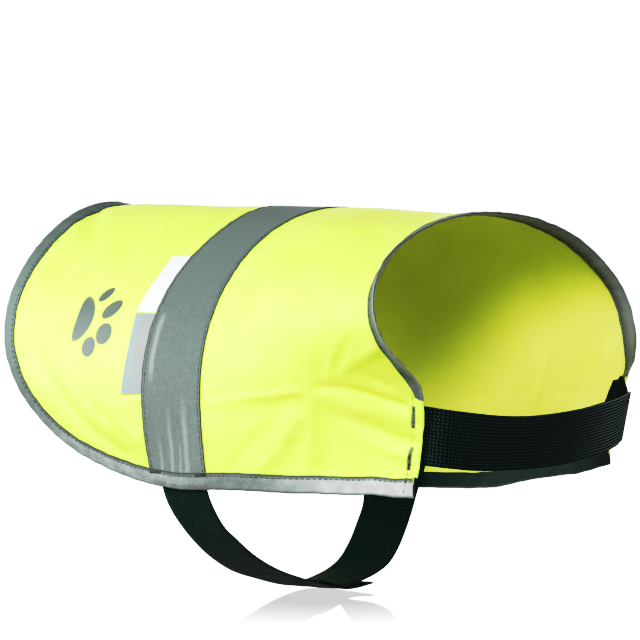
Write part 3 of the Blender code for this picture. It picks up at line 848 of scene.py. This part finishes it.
def neck_marks(finish, across, along):
    """The neck binding's: painted shade along its outer leaf's edge, and a painted highlight on the fold
    between the leaves; its inner leaf is only a little duller.
    """
    # painted shade along the outer leaf's edge
    edge_shade = (1 - across.between(0.0002, 0.0012)) * 0.75
    # painted highlight on the fold
    fold = 1 - (across - 0.0105).size().between(0.0004, 0.0018)
    inner = across.between(0.0112, 0.0128)
    highlight_and_pale = fold * 0.35 + inner * (0.75 - across.between(0.0150, 0.0200) * 0.40)
    return edge_shade, highlight_and_pale, 0.0, 0.0


def chest_webbing_finish():
    """Near-black webbing with lengthwise ribs, whose near third shows pale dots where threads cross."""
    finish = Finish("chest_webbing", Specular_IOR_Level=0.10, Sheen_Weight=0.03, Sheen_Roughness=0.4)
    across, along = finish.cut()
    rib = (across * (2 * math.pi / RIB_PITCH)).sine() * 0.5 + 0.5
    stagger = (across * (math.pi / RIB_PITCH)).sine() * 0.8
    cross = (along * (2 * math.pi / DOT_PITCH) + stagger).sine() * rib
    near = 1 - along.between(DOTS_END - 0.014, DOTS_END + 0.004)
    dots = cross.between(0.40, 0.95) * near
    fuzz = finish.flat_cloud(across, along, (2600, 900), 2)
    crest = rib.between(0.45, 1.0) * (0.12 + along.between(0.120, 0.200) * 0.75) * (1 - near)
    colour = finish.mix(fuzz.between(0.3, 0.8), (0.0050, 0.0210, 0.0190), (0.0120, 0.0330, 0.0300))
    colour = finish.mix(crest, colour, (0.240, 0.270, 0.260))
    colour = finish.mix(dots * (0.15 + fuzz * 0.9), colour, (0.170, 0.205, 0.192))
    weave = (along * (2 * math.pi / 0.0010)).sine() * 0.3 + fuzz + dots * 1.5
    return finish.done(colour, 0.75 + fuzz * 0.2, finish.bump(weave, 0.00022, 0.8))


def belly_webbing_finish():
    """Near-black loop webbing: fuzzy pile, and fine ribs across it lower down, where its outer face is
    painted paler, as light thrown up from the floor.
    """
    finish = Finish("belly_webbing", Specular_IOR_Level=0.12, Sheen_Weight=0.05, Sheen_Roughness=0.45)
    across, along = finish.cut()
    pile = finish.flat_cloud(across, along, (1100, 1100), 3)
    fine = finish.flat_cloud(across, along, (2600, 2600), 1)
    ribs = (along * (2 * math.pi / CROSS_RIB_PITCH) + pile * 1.4).sine() * 0.5 + 0.5
    colour = finish.mix(pile.between(0.35, 0.75), (0.0030, 0.0260, 0.0200), (0.0180, 0.0500, 0.0440))
    outside = 1 - finish.node("ShaderNodeAttribute", {"attribute_name": "inside"}, out=2)
    # painted light: lower down, the outer face is painted paler as if lit from the white floor below
    low = along.between(0.050, 0.120) * outside
    colour = finish.mix(ribs.between(0.5, 1.0) * fine * (0.6 + low * 0.9), colour, (0.060, 0.085, 0.078))
    # painted light: pale grey over the lower part of the outer face
    colour = finish.mix(low * (0.10 + fine * 0.70), colour, (0.170, 0.198, 0.188))
    weave = finish.bump(pile + fine * 0.6 + ribs * 0.3, 0.00035, 0.8)
    return finish.done(colour, 0.78 + fine * 0.2, weave)


def tag_finish(name, ground, weft, stripe=None):
    """Woven satin tag, bare, with fine lines across it and perhaps a tinted stripe along its free edge."""
    finish = Finish(name, Specular_IOR_Level=0.3)
    across, along = finish.cut()
    lines = (across * (2 * math.pi / 0.0008)).sine() * 0.5 + 0.5
    grain = finish.flat_cloud(across, along, (1400, 1400), 2)
    colour = finish.mix(lines * 0.5 + grain * 0.5, ground, weft)
    if stripe:
        tinted = along.between(LABEL_DEPTH * 0.60, LABEL_DEPTH * 0.66)
        colour = finish.mix(tinted, colour, stripe)
    return finish.done(colour, 0.45 + grain * 0.2, finish.bump(lines + grain, 0.00010, 0.6))


def print_finish():
    """Grey reflective ink of the paw print, with a darker rim where it meets the cloth."""
    finish = Finish("paw_ink", Specular_IOR_Level=0.35)
    rim, _ = finish.cut()
    grain = finish.cloud(1500, 2)
    patches = finish.cloud(190, 3)
    colour = finish.mix(grain * 0.5 + patches * 0.5, (0.078, 0.093, 0.088), (0.108, 0.125, 0.119))
    colour = finish.mix(rim.between(0.86, 0.99) * 0.8, colour, (0.140, 0.185, 0.070))
    finish.set("Metallic", 0.1)
    return finish.done(colour, 0.5 + grain * 0.2, finish.bump(grain, 0.00010, 0.6))


def thread_finish(name, first, second, roughness=0.6):
    """Twisted sewing thread: colour that varies from stitch to stitch."""
    finish = Finish(name, Specular_IOR_Level=0.3)
    shade = finish.cloud(420, 2)
    colour = finish.mix(shade.between(0.35, 0.65), first, second)
    twist = finish.bump(finish.cloud(3800, 1), 0.00008, 0.5)
    return finish.done(colour, roughness + shade * 0.1, twist)


# ---------------------------------------------------------------- pieces
def piece_of(piece, material, nodes=()):
    """Gives a piece its material, its body and the CAD nodes that it stands for."""
    piece.data.materials.append(material)
    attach(piece, "root")
    if nodes:
        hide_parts(*nodes)
    return piece


def flat_pair(y, v):
    """UV places (across, along) for flat (y, v)."""
    return np.stack(np.broadcast_arrays(v, y), axis=-1)


ACROSS = 240
ALONG = 170


def cloth_panel(finish):
    """The back panel: straight lines from the neck's cut to the hem's, wrapped with every crease."""
    neck = inset(neck_outline(ACROSS + 1), FOLD_REACH)
    hem = inset(hem_outline(ACROSS + 1), FOLD_REACH)
    for line in (neck, hem):
        line[[0, -1], 0] += FOLD_REACH
    share = np.linspace(0, 1, ALONG + 1)[:, None, None]
    flat = neck * (1 - share) + hem * share
    y, v = flat[..., 0], flat[..., 1]
    piece = shell("cloth_panel", wrap(y, v, OUTER_FACE), wrap(y, v, -OUTER_FACE), flat_pair(y, v))
    return piece_of(piece, finish, ["back_panel"])


def band_window(y):
    """1 where the band runs under the hem binding, falling to 0 beside it."""
    inside = np.minimum(y - (BAND_FRONT - 0.003), BAND_FRONT + BAND_WIDTH + 0.003 - y)
    return np.clip(inside / 0.003, 0, 1)


def band_relief(y, v):
    """The band's own gathers and its edges, held down by the stitches along both."""
    edge = np.minimum(y - BAND_FRONT, BAND_FRONT + BAND_WIDTH - y)
    dip = -0.00022 * bell(edge - 0.0022, 0.0011)
    return read_folds(BAND_FOLDS, y, v) + dip + 0.00010 * ripple(v, 41, 0.022, 0.007) * bell(edge, 0.006)


def reflective_band(finish):
    y = BAND_FRONT + BAND_WIDTH * np.linspace(0, 1, 49)
    reach = hem_v(y) - BINDING_WIDTH + 0.0015
    v = np.linspace(-1, 1, 421)[:, None] * reach[None, :]
    y = np.broadcast_to(y, v.shape)
    height = band_relief(y, v)
    piece = shell(
        "band_tape", wrap(y, v, BAND_FAR + height), wrap(y, v, BAND_NEAR + height), flat_pair(y, v)
    )
    return piece_of(piece, finish, ["reflective_band"])


def folded_strip(name, edge, width, wave, finish, node, raised=None, tuck=0.0):
    """A strip folded over a finished edge: a leaf outside, half an ellipse round the cloth's edge, and a
    leaf inside, with a ripple across both leaves that the seam holds down. Both leaves narrow by the share
    tuck towards the start."""
    leaf = width - FOLD_REACH
    run = run_along(edge)
    depth = np.linspace(leaf, 0, 9)
    turn = np.radians(np.linspace(90, -90, 11))

    def loft(reach, lift):
        depths = np.concatenate([depth[:-1], -reach * np.cos(turn), depth[-2::-1]])
        lifts = np.concatenate([np.full(8, lift), lift * np.sin(turn), np.full(8, -lift)])
        sway = 0.00012 * ripple(run, 5, 0.034, 0.011)
        end = np.clip(1 - run / TUCK_LENGTH, 0, 1) ** 1.5
        narrow = 1 - tuck * end
        rows = np.array(
            [inset(edge, FOLD_REACH + (at * narrow if at > 0 else at) + sway) for at in depths]
        )
        crown = np.clip(1 - np.abs(depths / leaf - 0.42) / 0.6, 0, 1)[:, None]
        waves = wave * ripple(run[None] + 0.25 * depths[:, None], 7, 0.024, 0.0075)
        lifts = np.sign(lifts)[:, None] * (np.abs(lifts)[:, None] + (0.00018 + waves) * crown)
        if raised is not None:
            on_leaf = (np.arange(len(depths)) < 8)[:, None]
            lifts = lifts + on_leaf * raised(rows[..., 0]) * BAND_STEP
        return wrap(rows[..., 0], rows[..., 1], lifts), depths

    outer, depths = loft(FOLD_REACH, LEAF_FAR)
    inner, _ = loft(FOLD_REACH - 0.0005, LEAF_NEAR)
    around = np.concatenate([[0], np.cumsum(np.hypot(np.diff(depths), 0.0002))])
    cut = np.stack(np.broadcast_arrays(around[:, None], run[None, :]), axis=-1)
    return piece_of(shell(name, outer, inner, cut), finish, [node])


def through_rows(rows, count):
    """count rows of points along the smooth curves through the given rows."""
    rows = np.asarray(rows, float)
    return curve_through(rows.reshape(len(rows), -1), count).reshape(count, STRAP_COLUMNS, 3)


def strap_middle(rows, count, columns):
    """The middle of a strap: smooth curves through its rows, then made finer across its width."""
    middle = through_rows(rows, count)
    share = np.linspace(0, 1, columns)
    fine = smooth(share, np.linspace(0, 1, STRAP_COLUMNS), np.moveaxis(middle, 1, 0))
    return np.moveaxis(fine, 0, 1)


def square_to(middle):
    """Unit normals of a grid of points."""
    normal = np.cross(np.gradient(middle, axis=0), np.gradient(middle, axis=1))
    return normal / np.linalg.norm(normal, axis=-1, keepdims=True)


def straight_row(first, second):
    share = np.linspace(0, 1, STRAP_COLUMNS)[:, None]
    row = np.asarray(first) * (1 - share) + np.asarray(second) * share
    return row - np.array([0, ORIGIN_Y, ORIGIN_Z])


def beside(rows, distance, count):
    """Rows of a layer that runs at a distance inside the layer with these rows."""
    middle = through_rows(rows, count)
    return middle + square_to(middle) * distance


def chest_root(side, top):
    v = np.linspace(top, top + CHEST_STRAP_WIDTH, STRAP_COLUMNS)
    behind = CHEST_ROOT_LENGTH * np.array([1.0, 0.5, 0.0])
    return [wrap(front_y(v) + step, side * v, STRAP_ROOT, folds=False) for step in behind]


def belly_root(side):
    y = ORIGIN_Y + BELLY_STRAP_WIDTH * np.linspace(-0.5, 0.5, STRAP_COLUMNS)
    above = BELLY_ROOT_LENGTH * np.array([1.0, 0.5, 0.0])
    return [wrap(y, side * (hem_v(y) - step), STRAP_ROOT, folds=False) for step in above]


def belly_rows(table):
    front = ORIGIN_Y - BELLY_STRAP_WIDTH / 2
    rear = ORIGIN_Y + BELLY_STRAP_WIDTH / 2
    return [straight_row((x, front, z_front), (x, rear, z_rear)) for x, z_front, z_rear in table]


RIBS = 17
RIB_PITCH = CHEST_STRAP_WIDTH / RIBS
DOT_PITCH = 0.0022
DOTS_END = 0.078  # along the chest strap, from its sewn end
CROSS_RIB_PITCH = 0.0015


def strap(name, rows, count, columns, height, finish, node, first=0.0, out=1):
    """A strap: its middle, moved out to both sides by half its thickness and a height over the flat
    strap, and thinned along both selvedges. Its weave is counted from first at its sewn end, and out is -1
    where the middle's normals point to the wearer."""
    middle = strap_middle(rows, count, columns)
    normal = square_to(middle)
    along = run_along(middle[:, columns // 2])
    across = run_along(middle[count // 2])
    across, along = np.meshgrid(across, along)
    width = across[0, -1]
    edge = np.minimum(across, width - across)
    half = WEBBING / 2 * (0.45 + 0.55 * np.clip(edge / 0.0009, 0, 1) ** 0.5)
    half = out * (half + height(across, along))[..., None]
    cut = np.stack([across, along + first], axis=-1)
    return piece_of(
        shell(name, middle + normal * half, middle - normal * half, cut, 60), finish, [node]
    )


def rib_height(across, along):
    """Lengthwise ribs: a sine across the strap, a little uneven along it."""
    uneven = 1 + 0.2 * np.sin(along * 260 + across * 900)
    return 0.00012 * np.sin(2 * math.pi * across / RIB_PITCH) * uneven


def cross_rib_height(across, along):
    """Fine ribs across the strap, leaning a little, over a slow unevenness."""
    slow = 0.00010 * np.sin(along * 170 + 1.1) * np.sin(across * 210)
    return 0.00005 * np.sin(2 * math.pi * (along + 0.12 * across) / CROSS_RIB_PITCH) + slow


def chest_straps(finish):
    run = [straight_row(top, bottom) for top, bottom in CHEST_RUN]
    rows = chest_root(-1, CHEST_ROOT_RIGHT) + run
    right = strap("chest_webbing_right", rows, 260, 137, rib_height, finish, "chest_strap_right")
    behind = beside(run, WEBBING + 2 * GAP, 60)
    behind = behind[behind[:, 0, 0] > CHEST_OVERLAP_END] + np.array([0, 0, CHEST_LEFT_RISE])
    rows = chest_root(1, CHEST_ROOT_LEFT) + list(behind[::-6])
    left = strap("chest_webbing_left", rows, 110, 137, rib_height, finish, "chest_strap_left", 0.100)
    return right, left


def belly_straps(finish):
    run = belly_rows(BELLY_RUN)
    right = strap(
        "belly_webbing_right", belly_root(-1) + run, 900, 21, cross_rib_height, finish, "belly_strap_right",
        out=-1,
    )
    above = beside(run, WEBBING + 0.0001, 80)
    above = above[(above[:, 0, 0] > BELLY_OVERLAP_END) & (above[:, 0, 0] < BELLY_OVERLAP_START)]
    rows = belly_root(1) + belly_rows(BELLY_INNER_RUN)[::-1] + list(above[::-5])
    left = strap("belly_webbing_left", rows, 760, 21, cross_rib_height, finish, "belly_strap_left")
    return right, left


def tag(name, ends, lean, finish, node):
    """A bare tag tucked under the band: its free edge stands off the cloth and waves a little."""
    start = BAND_FRONT + BAND_WIDTH - 0.0008
    depth = np.linspace(0, LABEL_DEPTH + 0.0008, 19)
    v = np.linspace(*ends, 61)
    across, along = np.meshgrid(v, depth, indexing="ij")
    part = along / depth[-1]
    swing = np.sin((across - ends[0]) / (ends[1] - ends[0]) * math.pi * 1.6 + lean)
    lift = TAG_LIFT + (0.0007 + 0.0004 * swing) * part**1.6
    chord = 1 - 0.10 * np.sin((across - ends[0]) / (ends[1] - ends[0]) * math.pi) * part
    y = start + along * chord
    outer = wrap(y, across, lift + 0.00028)
    inner = wrap(y, across, lift)
    cut = np.stack([across - ends[0], along], axis=-1)
    return piece_of(shell(name, outer, inner, cut), finish, [node])


# Each pad of the paw, in millimetres: (y, v) of its middle, half length, half width, turn in degrees, and
# how far its ends bend back.
PADS = (
    (217.0, -116.0, 6.3, 3.5, -55, 0.0),
    (207.0, -126.0, 8.0, 4.8, -47, 0.0),
    (207.0, -142.0, 6.8, 6.1, -85, 0.0),
    (217.0, -150.5, 6.2, 5.5, -80, 0.0),
    (228.0, -133.0, 15.0, 7.0, -90, 4.0),
)


def paw_print(finish):
    """Five pads of ink on the cloth: ellipses, the large one bent by the square of the cosine, as rings of
    points that close in on each pad's middle."""
    spin = np.linspace(0, 2 * math.pi, 73)[:-1]
    rings = np.linspace(0, 1, 15)[1:] ** 0.8
    points, faces, places, count = [], [], [], 0
    for y, v, length, width, turn, bent in PADS:
        along = length * np.cos(spin)
        aside = width * np.sin(spin) + bent * (np.cos(spin) ** 2 - 0.5)
        cosine, sine = math.cos(math.radians(turn)), math.sin(math.radians(turn))
        dy, dv = along * cosine - aside * sine, along * sine + aside * cosine
        at_y = (y + np.concatenate([[0], (rings[:, None] * dy).ravel()])) / 1000
        at_v = (v + np.concatenate([[0], (rings[:, None] * dv).ravel()])) / 1000
        points.append(wrap(at_y, at_v, OUTER_FACE + 0.00006))
        rim = np.concatenate([[0], np.repeat(rings, len(spin))])
        places.append(np.stack([rim, np.concatenate([[0], np.tile(spin, len(rings))])], axis=1))
        index = count + 1 + np.arange(len(rings) * len(spin)).reshape(len(rings), -1)
        after = np.roll(index, -1, axis=1)
        faces += quads(index[:-1], index[1:], after[1:], after[:-1]).tolist()
        faces += np.stack([np.full(len(spin), count), index[0], after[0]], axis=1).tolist()
        count += len(at_y)
    piece = made_of("paw_print", np.concatenate(points), faces, np.concatenate(places))
    piece.data.shade_smooth()
    return piece_of(piece, finish)


STRAP_TACKS = ((0.1925, 0.2045), (0.2155, 0.2275))  # from and to, out from the spine


def front_edge(v):
    """y of the finished front edge, which bulges a little below the front corner."""
    return front_y(v) - 0.0018 * bell(v - 0.194, 0.011)


def sewn_piece(name, rows, thread, thickness=0.00025):
    return piece_of(stitches(name, *joined(*rows), thickness=thickness), thread)


def sewing(tape_thread, cloth_thread, seam_thread, dark_thread):
    """Every visible seam, each kind as one piece."""
    leaf = BINDING_WIDTH - 0.0020
    made = []
    hem = hem_outline(700)
    raised = LEAF_FAR + 0.00012 + BAND_STEP * band_window(hem[:, 0])
    rows = [seam(inset(hem, leaf), raised, 0.0035, 0.55), seam(inset(hem, leaf), -LEAF_FAR, inner=True)]
    neck = neck_outline(400)
    rows += [seam(inset(neck, leaf), LEAF_FAR), seam(inset(neck, leaf), -LEAF_FAR, inner=True)]
    made.append(sewn_piece("binding_stitches", rows, tape_thread))
    rows = []
    inside = []
    for y in (BAND_FRONT + 0.0022, BAND_FRONT + BAND_WIDTH - 0.0022):
        reach = float(hem_v(y)) - BINDING_WIDTH
        v = np.linspace(-reach, reach, 500)
        line = np.stack([np.full_like(v, y), v], axis=1)
        rows.append(seam(line, BAND_FAR - 0.0002, pitch=0.0032))
        inside.append(seam(line, -OUTER_FACE, pitch=0.0032, inner=True))
    made.append(sewn_piece("band_stitches", rows, tape_thread, 0.0002))
    made.append(sewn_piece("band_stitches_inside", inside, cloth_thread, 0.0002))
    rows = []
    bars = []
    for side in (-1, 1):
        v = np.linspace(NECK_CUT[-1][0] + FRONT_HEM_START - 0.002, HEM_CUT[0][1] - BINDING_WIDTH, 60)
        line = np.stack([front_edge(v) + FRONT_HEM_WIDTH + 0.0003, side * v], axis=1)
        rows += [seam(line, OUTER_FACE + 0.0001, share=0.96), seam(line, -LEAF_FAR, inner=True)]
        for ends in STRAP_TACKS:
            v = np.array(ends)
            place = np.stack([front_edge(v) + FRONT_HEM_WIDTH - 0.0004, side * v], axis=1)
            bars.append(tack(place, 0.0034, LEAF_FAR, 26))
    made.append(sewn_piece("front_stitches", rows, seam_thread))
    made.append(sewn_piece("strap_tacks", bars, dark_thread))
    bars = []
    for side in (-1, 1):
        for y in (ORIGIN_Y - 0.021, ORIGIN_Y + 0.0195):
            v = side * float(hem_v(y))
            line = [(y - 0.0045, v - side * 0.0092), (y + 0.0045, v - side * 0.0092)]
            bars.append(tack(line, 0.0020, LEAF_FAR + BAND_STEP, 20))
    made.append(sewn_piece("hem_tacks", bars, tape_thread))
    bars = []
    for side in (-1, 1):
        for depth in (0.0022, 0.0048, 0.0078):
            v = np.array([NECK_CUT[-1][0] - 0.0005, NECK_CUT[-1][0] - 0.0085])
            y = smooth(v, *zip(*NECK_CUT)) + depth
            bars.append(tack(np.stack([y, side * v], axis=1), 0.0010, LEAF_FAR, 14))
        v = HEM_CUT[0][1] - np.array([0.0015, 0.0095])
        bars.append(tack(np.stack([front_y(v) + 0.0075, side * v], axis=1), 0.0014, LEAF_FAR, 14))
    made.append(sewn_piece("corner_tacks", bars, dark_thread))
    return made


def build_vest():
    yellow = cloth_finish()
    band_tape = tape_finish("band_tape_finish", band_marks)
    hem_finish = tape_finish("hem_tape_finish", hem_marks)
    neck_finish = tape_finish("neck_tape_finish", neck_marks)
    grey_thread = thread_finish("grey_thread", (0.036, 0.044, 0.041), (0.075, 0.088, 0.083))
    yellow_thread = thread_finish("yellow_thread", (0.730, 0.840, 0.120), (0.800, 0.900, 0.170))
    olive_thread = thread_finish("olive_thread", (0.130, 0.155, 0.040), (0.260, 0.300, 0.070))
    dark_thread = thread_finish("dark_thread", (0.045, 0.052, 0.042), (0.120, 0.132, 0.105), 0.7)

    panel = cloth_panel(yellow)
    band = reflective_band(band_tape)
    hem = folded_strip(
        "hem_tape", hem_outline(721), BINDING_WIDTH, 0.00012, hem_finish,
        "hem_binding", band_window,
    )
    neck = folded_strip(
        "neck_tape", neck_outline(425, NECK_TAILS), BINDING_WIDTH, 0.00010, neck_finish,
        "neck_binding", tuck=0.55,
    )
    v = np.linspace(NECK_CUT[-1][0] + FRONT_HEM_START, HEM_CUT[0][1] - BINDING_WIDTH - 2 * GAP, 61)
    fronts = [
        folded_strip(
            f"front_fold_{word}", np.stack([front_edge(v), side * v], axis=1), FRONT_HEM_WIDTH, 0.00014,
            yellow, f"front_hem_{word}",
        )
        for side, word in ((-1, "right"), (1, "left"))
    ]
    chest = chest_straps(chest_webbing_finish())
    belly = belly_straps(belly_webbing_finish())
    white = tag_finish("white_tag", (0.66, 0.68, 0.69), (0.78, 0.80, 0.81))
    grey = tag_finish("grey_tag", (0.158, 0.173, 0.175), (0.208, 0.225, 0.228), (0.165, 0.222, 0.230))
    upper = tag("tag_upper", UPPER_LABEL, 0.4, white, "label_upper")
    lower = tag("tag_lower", LOWER_LABEL, 1.2, grey, "label_lower")
    paw = paw_print(print_finish())
    sewn = sewing(grey_thread, yellow_thread, olive_thread, dark_thread)

    return sewn


# ---------------------------------------------------------------- stage, light and camera
CAMERA_AZIMUTH = -50.0
CAMERA_ELEVATION = 2.97
CAMERA_DISTANCE = 2.0
CAMERA_TARGET = Vector((0.0, -0.0103, -0.0675))
CAMERA_LENS = 185.2
FLOOR_Z = -0.2352
WHITE = 1.6  # the light of the backdrop, past the response's white
RESPONSE_WHITE = 1.3
RESPONSE = (
    (0, 0),
    (0.05, 0.013),
    (0.10, 0.052),
    (0.15, 0.117),
    (0.20, 0.208),
    (0.28, 0.41),
    (0.40, 0.62),
    (0.55, 0.74),
    (0.75, 0.82),
    (0.90, 0.87),
    (1.05, 0.93),
    (1.3, 1.0),
)


# Name, azimuth and elevation in degrees, distance, size and watts.
LIGHTS = (
    ("side", -118, 12, 1.0, (0.50, 0.45), 10.0),
    ("front", -48, 33, 2.6, (1.0, 0.8), 52),
    ("fill", -12, 10, 2.6, (1.0, 0.8), 6),
    ("far", 112, 6, 2.6, (1.0, 0.8), 48),
)


def direction(azimuth, elevation):
    a, e = math.radians(azimuth), math.radians(elevation)
    return Vector((math.sin(a) * math.cos(e), -math.cos(a) * math.cos(e), math.sin(e)))


def aimed(name, data, azimuth, elevation, distance):
    """An object that looks at the camera's target from a direction and a distance."""
    back = direction(azimuth, elevation)
    thing = bpy.data.objects.new(name, data)
    thing.location = CAMERA_TARGET + back * distance
    thing.rotation_mode = "QUATERNION"
    thing.rotation_quaternion = (-back).to_track_quat("-Z", "Y")
    bpy.context.scene.collection.objects.link(thing)
    return thing


def camera():
    data = bpy.data.cameras.new("camera")
    data.lens = CAMERA_LENS
    data.sensor_width = 36.0
    data.clip_end = 60.0
    eye = aimed("camera", data, CAMERA_AZIMUTH, CAMERA_ELEVATION, CAMERA_DISTANCE)
    bpy.context.scene.camera = eye


def soft_light(name, azimuth, elevation, distance, size, watts):
    data = bpy.data.lights.new(name, "AREA")
    data.shape = "RECTANGLE"
    data.size, data.size_y = size
    data.energy = watts
    aimed(name, data, azimuth, elevation, distance).visible_camera = False


def glow(name, strength):
    """A white that shines by itself."""
    material = bpy.data.materials.new(name)
    material.use_nodes = True
    nodes = material.node_tree.nodes
    nodes.clear()
    out = nodes.new("ShaderNodeOutputMaterial")
    shine = nodes.new("ShaderNodeEmission")
    shine.inputs["Strength"].default_value = strength
    material.node_tree.links.new(shine.outputs[0], out.inputs[0])
    return material, shine, out


def ring_rows(radius, height, count):
    """Level rings of count points: one for each radius and height."""
    turn = np.linspace(0, 2 * math.pi, count + 1)[:-1]
    level = np.ones(count)
    radius = np.asarray(radius)[:, None]
    return np.stack([radius * np.cos(turn), radius * np.sin(turn), height[:, None] * level], axis=-1)


def backdrop():
    """A white room round everything, seen but giving the vest no light of its own: a sphere of radius 9."""
    rise = np.linspace(-0.5, 0.5, 33)[1:-1] * math.pi
    rings = ring_rows(9 * np.cos(rise), 9 * np.sin(rise), 64)
    count = rings.shape[0] * rings.shape[1]
    index = np.arange(count).reshape(rings.shape[:2])
    after = np.roll(index, -1, axis=1)
    faces = quads(index[:-1], after[:-1], after[1:], index[1:]).tolist()
    for low, first, second in ((count, after[0], index[0]), (count + 1, index[-1], after[-1])):
        faces += np.stack([np.full(len(first), low), first, second], axis=1).tolist()
    points = np.concatenate([rings.reshape(-1, 3), [[0, 0, -9], [0, 0, 9]]])
    room = made_of("backdrop", points, faces)
    room.data.materials.append(glow("backdrop_white", WHITE)[0])
    return room


def horizon():
    """A pale wall that only mirrors see: a ring of radius 8.8 round the stage, from 5 degrees below the
    horizon to 26 above it."""
    rise = np.radians(np.linspace(-5, 26, 9))
    rings = ring_rows(np.full(9, 8.8), 8.8 * np.tan(rise), 96)
    index = np.arange(rings.shape[0] * rings.shape[1]).reshape(rings.shape[:2])
    after = np.roll(index, -1, axis=1)
    wall = made_of("horizon", rings, quads(index[:-1], index[1:], after[1:], after[:-1]).tolist())
    wall.data.materials.append(glow("horizon_white", WHITE)[0])
    wall.visible_camera = False
    return wall


def floor():
    """A pale floor: a white disc with a mirror of what stands on it, which dies out further off and where
    it is seen from above. From below it is clear."""
    ground = made_of("floor", ring_rows([8.7], np.array([FLOOR_Z]), 96), [list(range(96))])
    material, shine, out = glow("floor_white", WHITE)
    nodes, links = material.node_tree.nodes, material.node_tree.links
    place = nodes.new("ShaderNodeTexCoord")
    length = nodes.new("ShaderNodeVectorMath")
    length.operation = "DISTANCE"
    length.inputs[1].default_value = (0.012, 0, FLOOR_Z)
    facing = nodes.new("ShaderNodeLayerWeight")
    fades = []
    for source, limits in (
        (length.outputs["Value"], (0.050, 0.190, 0.76, 0)),
        (facing.outputs["Facing"], (0.60, 0.84, 0, 1)),
    ):
        fade = nodes.new("ShaderNodeMapRange")
        fade.interpolation_type = "SMOOTHSTEP"
        for key, value in zip(("From Min", "From Max", "To Min", "To Max"), limits):
            fade.inputs[key].default_value = value
        links.new(source, fade.inputs["Value"])
        fades.append(fade)
    share = nodes.new("ShaderNodeMath")
    share.operation = "MULTIPLY"
    mirror = nodes.new("ShaderNodeBsdfGlossy")
    mirror.inputs["Color"].default_value = (1, 1, 1, 1)
    mirror.inputs["Roughness"].default_value = 0.035
    blend = nodes.new("ShaderNodeMixShader")
    clear = nodes.new("ShaderNodeBsdfTransparent")
    side = nodes.new("ShaderNodeNewGeometry")
    sides = nodes.new("ShaderNodeMixShader")
    for source, target in (
        (place.outputs["Object"], length.inputs[0]),
        (fades[0].outputs[0], share.inputs[0]),
        (fades[1].outputs[0], share.inputs[1]),
        (share.outputs[0], blend.inputs[0]),
        (shine.outputs[0], blend.inputs[1]),
        (mirror.outputs[0], blend.inputs[2]),
        (side.outputs["Backfacing"], sides.inputs[0]),
        (blend.outputs[0], sides.inputs[1]),
        (clear.outputs[0], sides.inputs[2]),
        (sides.outputs[0], out.inputs[0]),
    ):
        links.new(source, target)
    ground.data.materials.append(material)
    return ground


def camera_response():
    """The contrast of the photograph: each row is a tone of the scene and its tone in the picture."""
    view = bpy.context.scene.view_settings
    view.view_transform = "Standard"
    view.use_curve_mapping = True
    mapping = view.curve_mapping
    mapping.white_level = (RESPONSE_WHITE,) * 3
    curve = mapping.curves[3]
    for tone, shown in RESPONSE[1:-1]:
        curve.points.new(tone / RESPONSE_WHITE, shown)
    curve.points[0].location = RESPONSE[0]
    curve.points[-1].location = (RESPONSE[-1][0] / RESPONSE_WHITE, RESPONSE[-1][1])
    for point in curve.points:
        point.handle_type = "AUTO_CLAMPED"
    mapping.update()


def stage():
    ground = floor()
    room = backdrop()
    wall = horizon()
    room.visible_glossy = False
    for thing in (ground, room, wall):
        thing.visible_diffuse = False
        thing.visible_shadow = False
        thing.visible_transmission = False
    world = bpy.data.worlds.new("studio")
    world.use_nodes = True
    sky = world.node_tree.nodes["Background"]
    sky.inputs["Color"].default_value = (1, 0.95, 0.94, 1)
    sky.inputs["Strength"].default_value = 0.115
    bpy.context.scene.world = world
    camera_response()
    for light in LIGHTS:
        soft_light(*light)


camera()
build_vest()
stage()
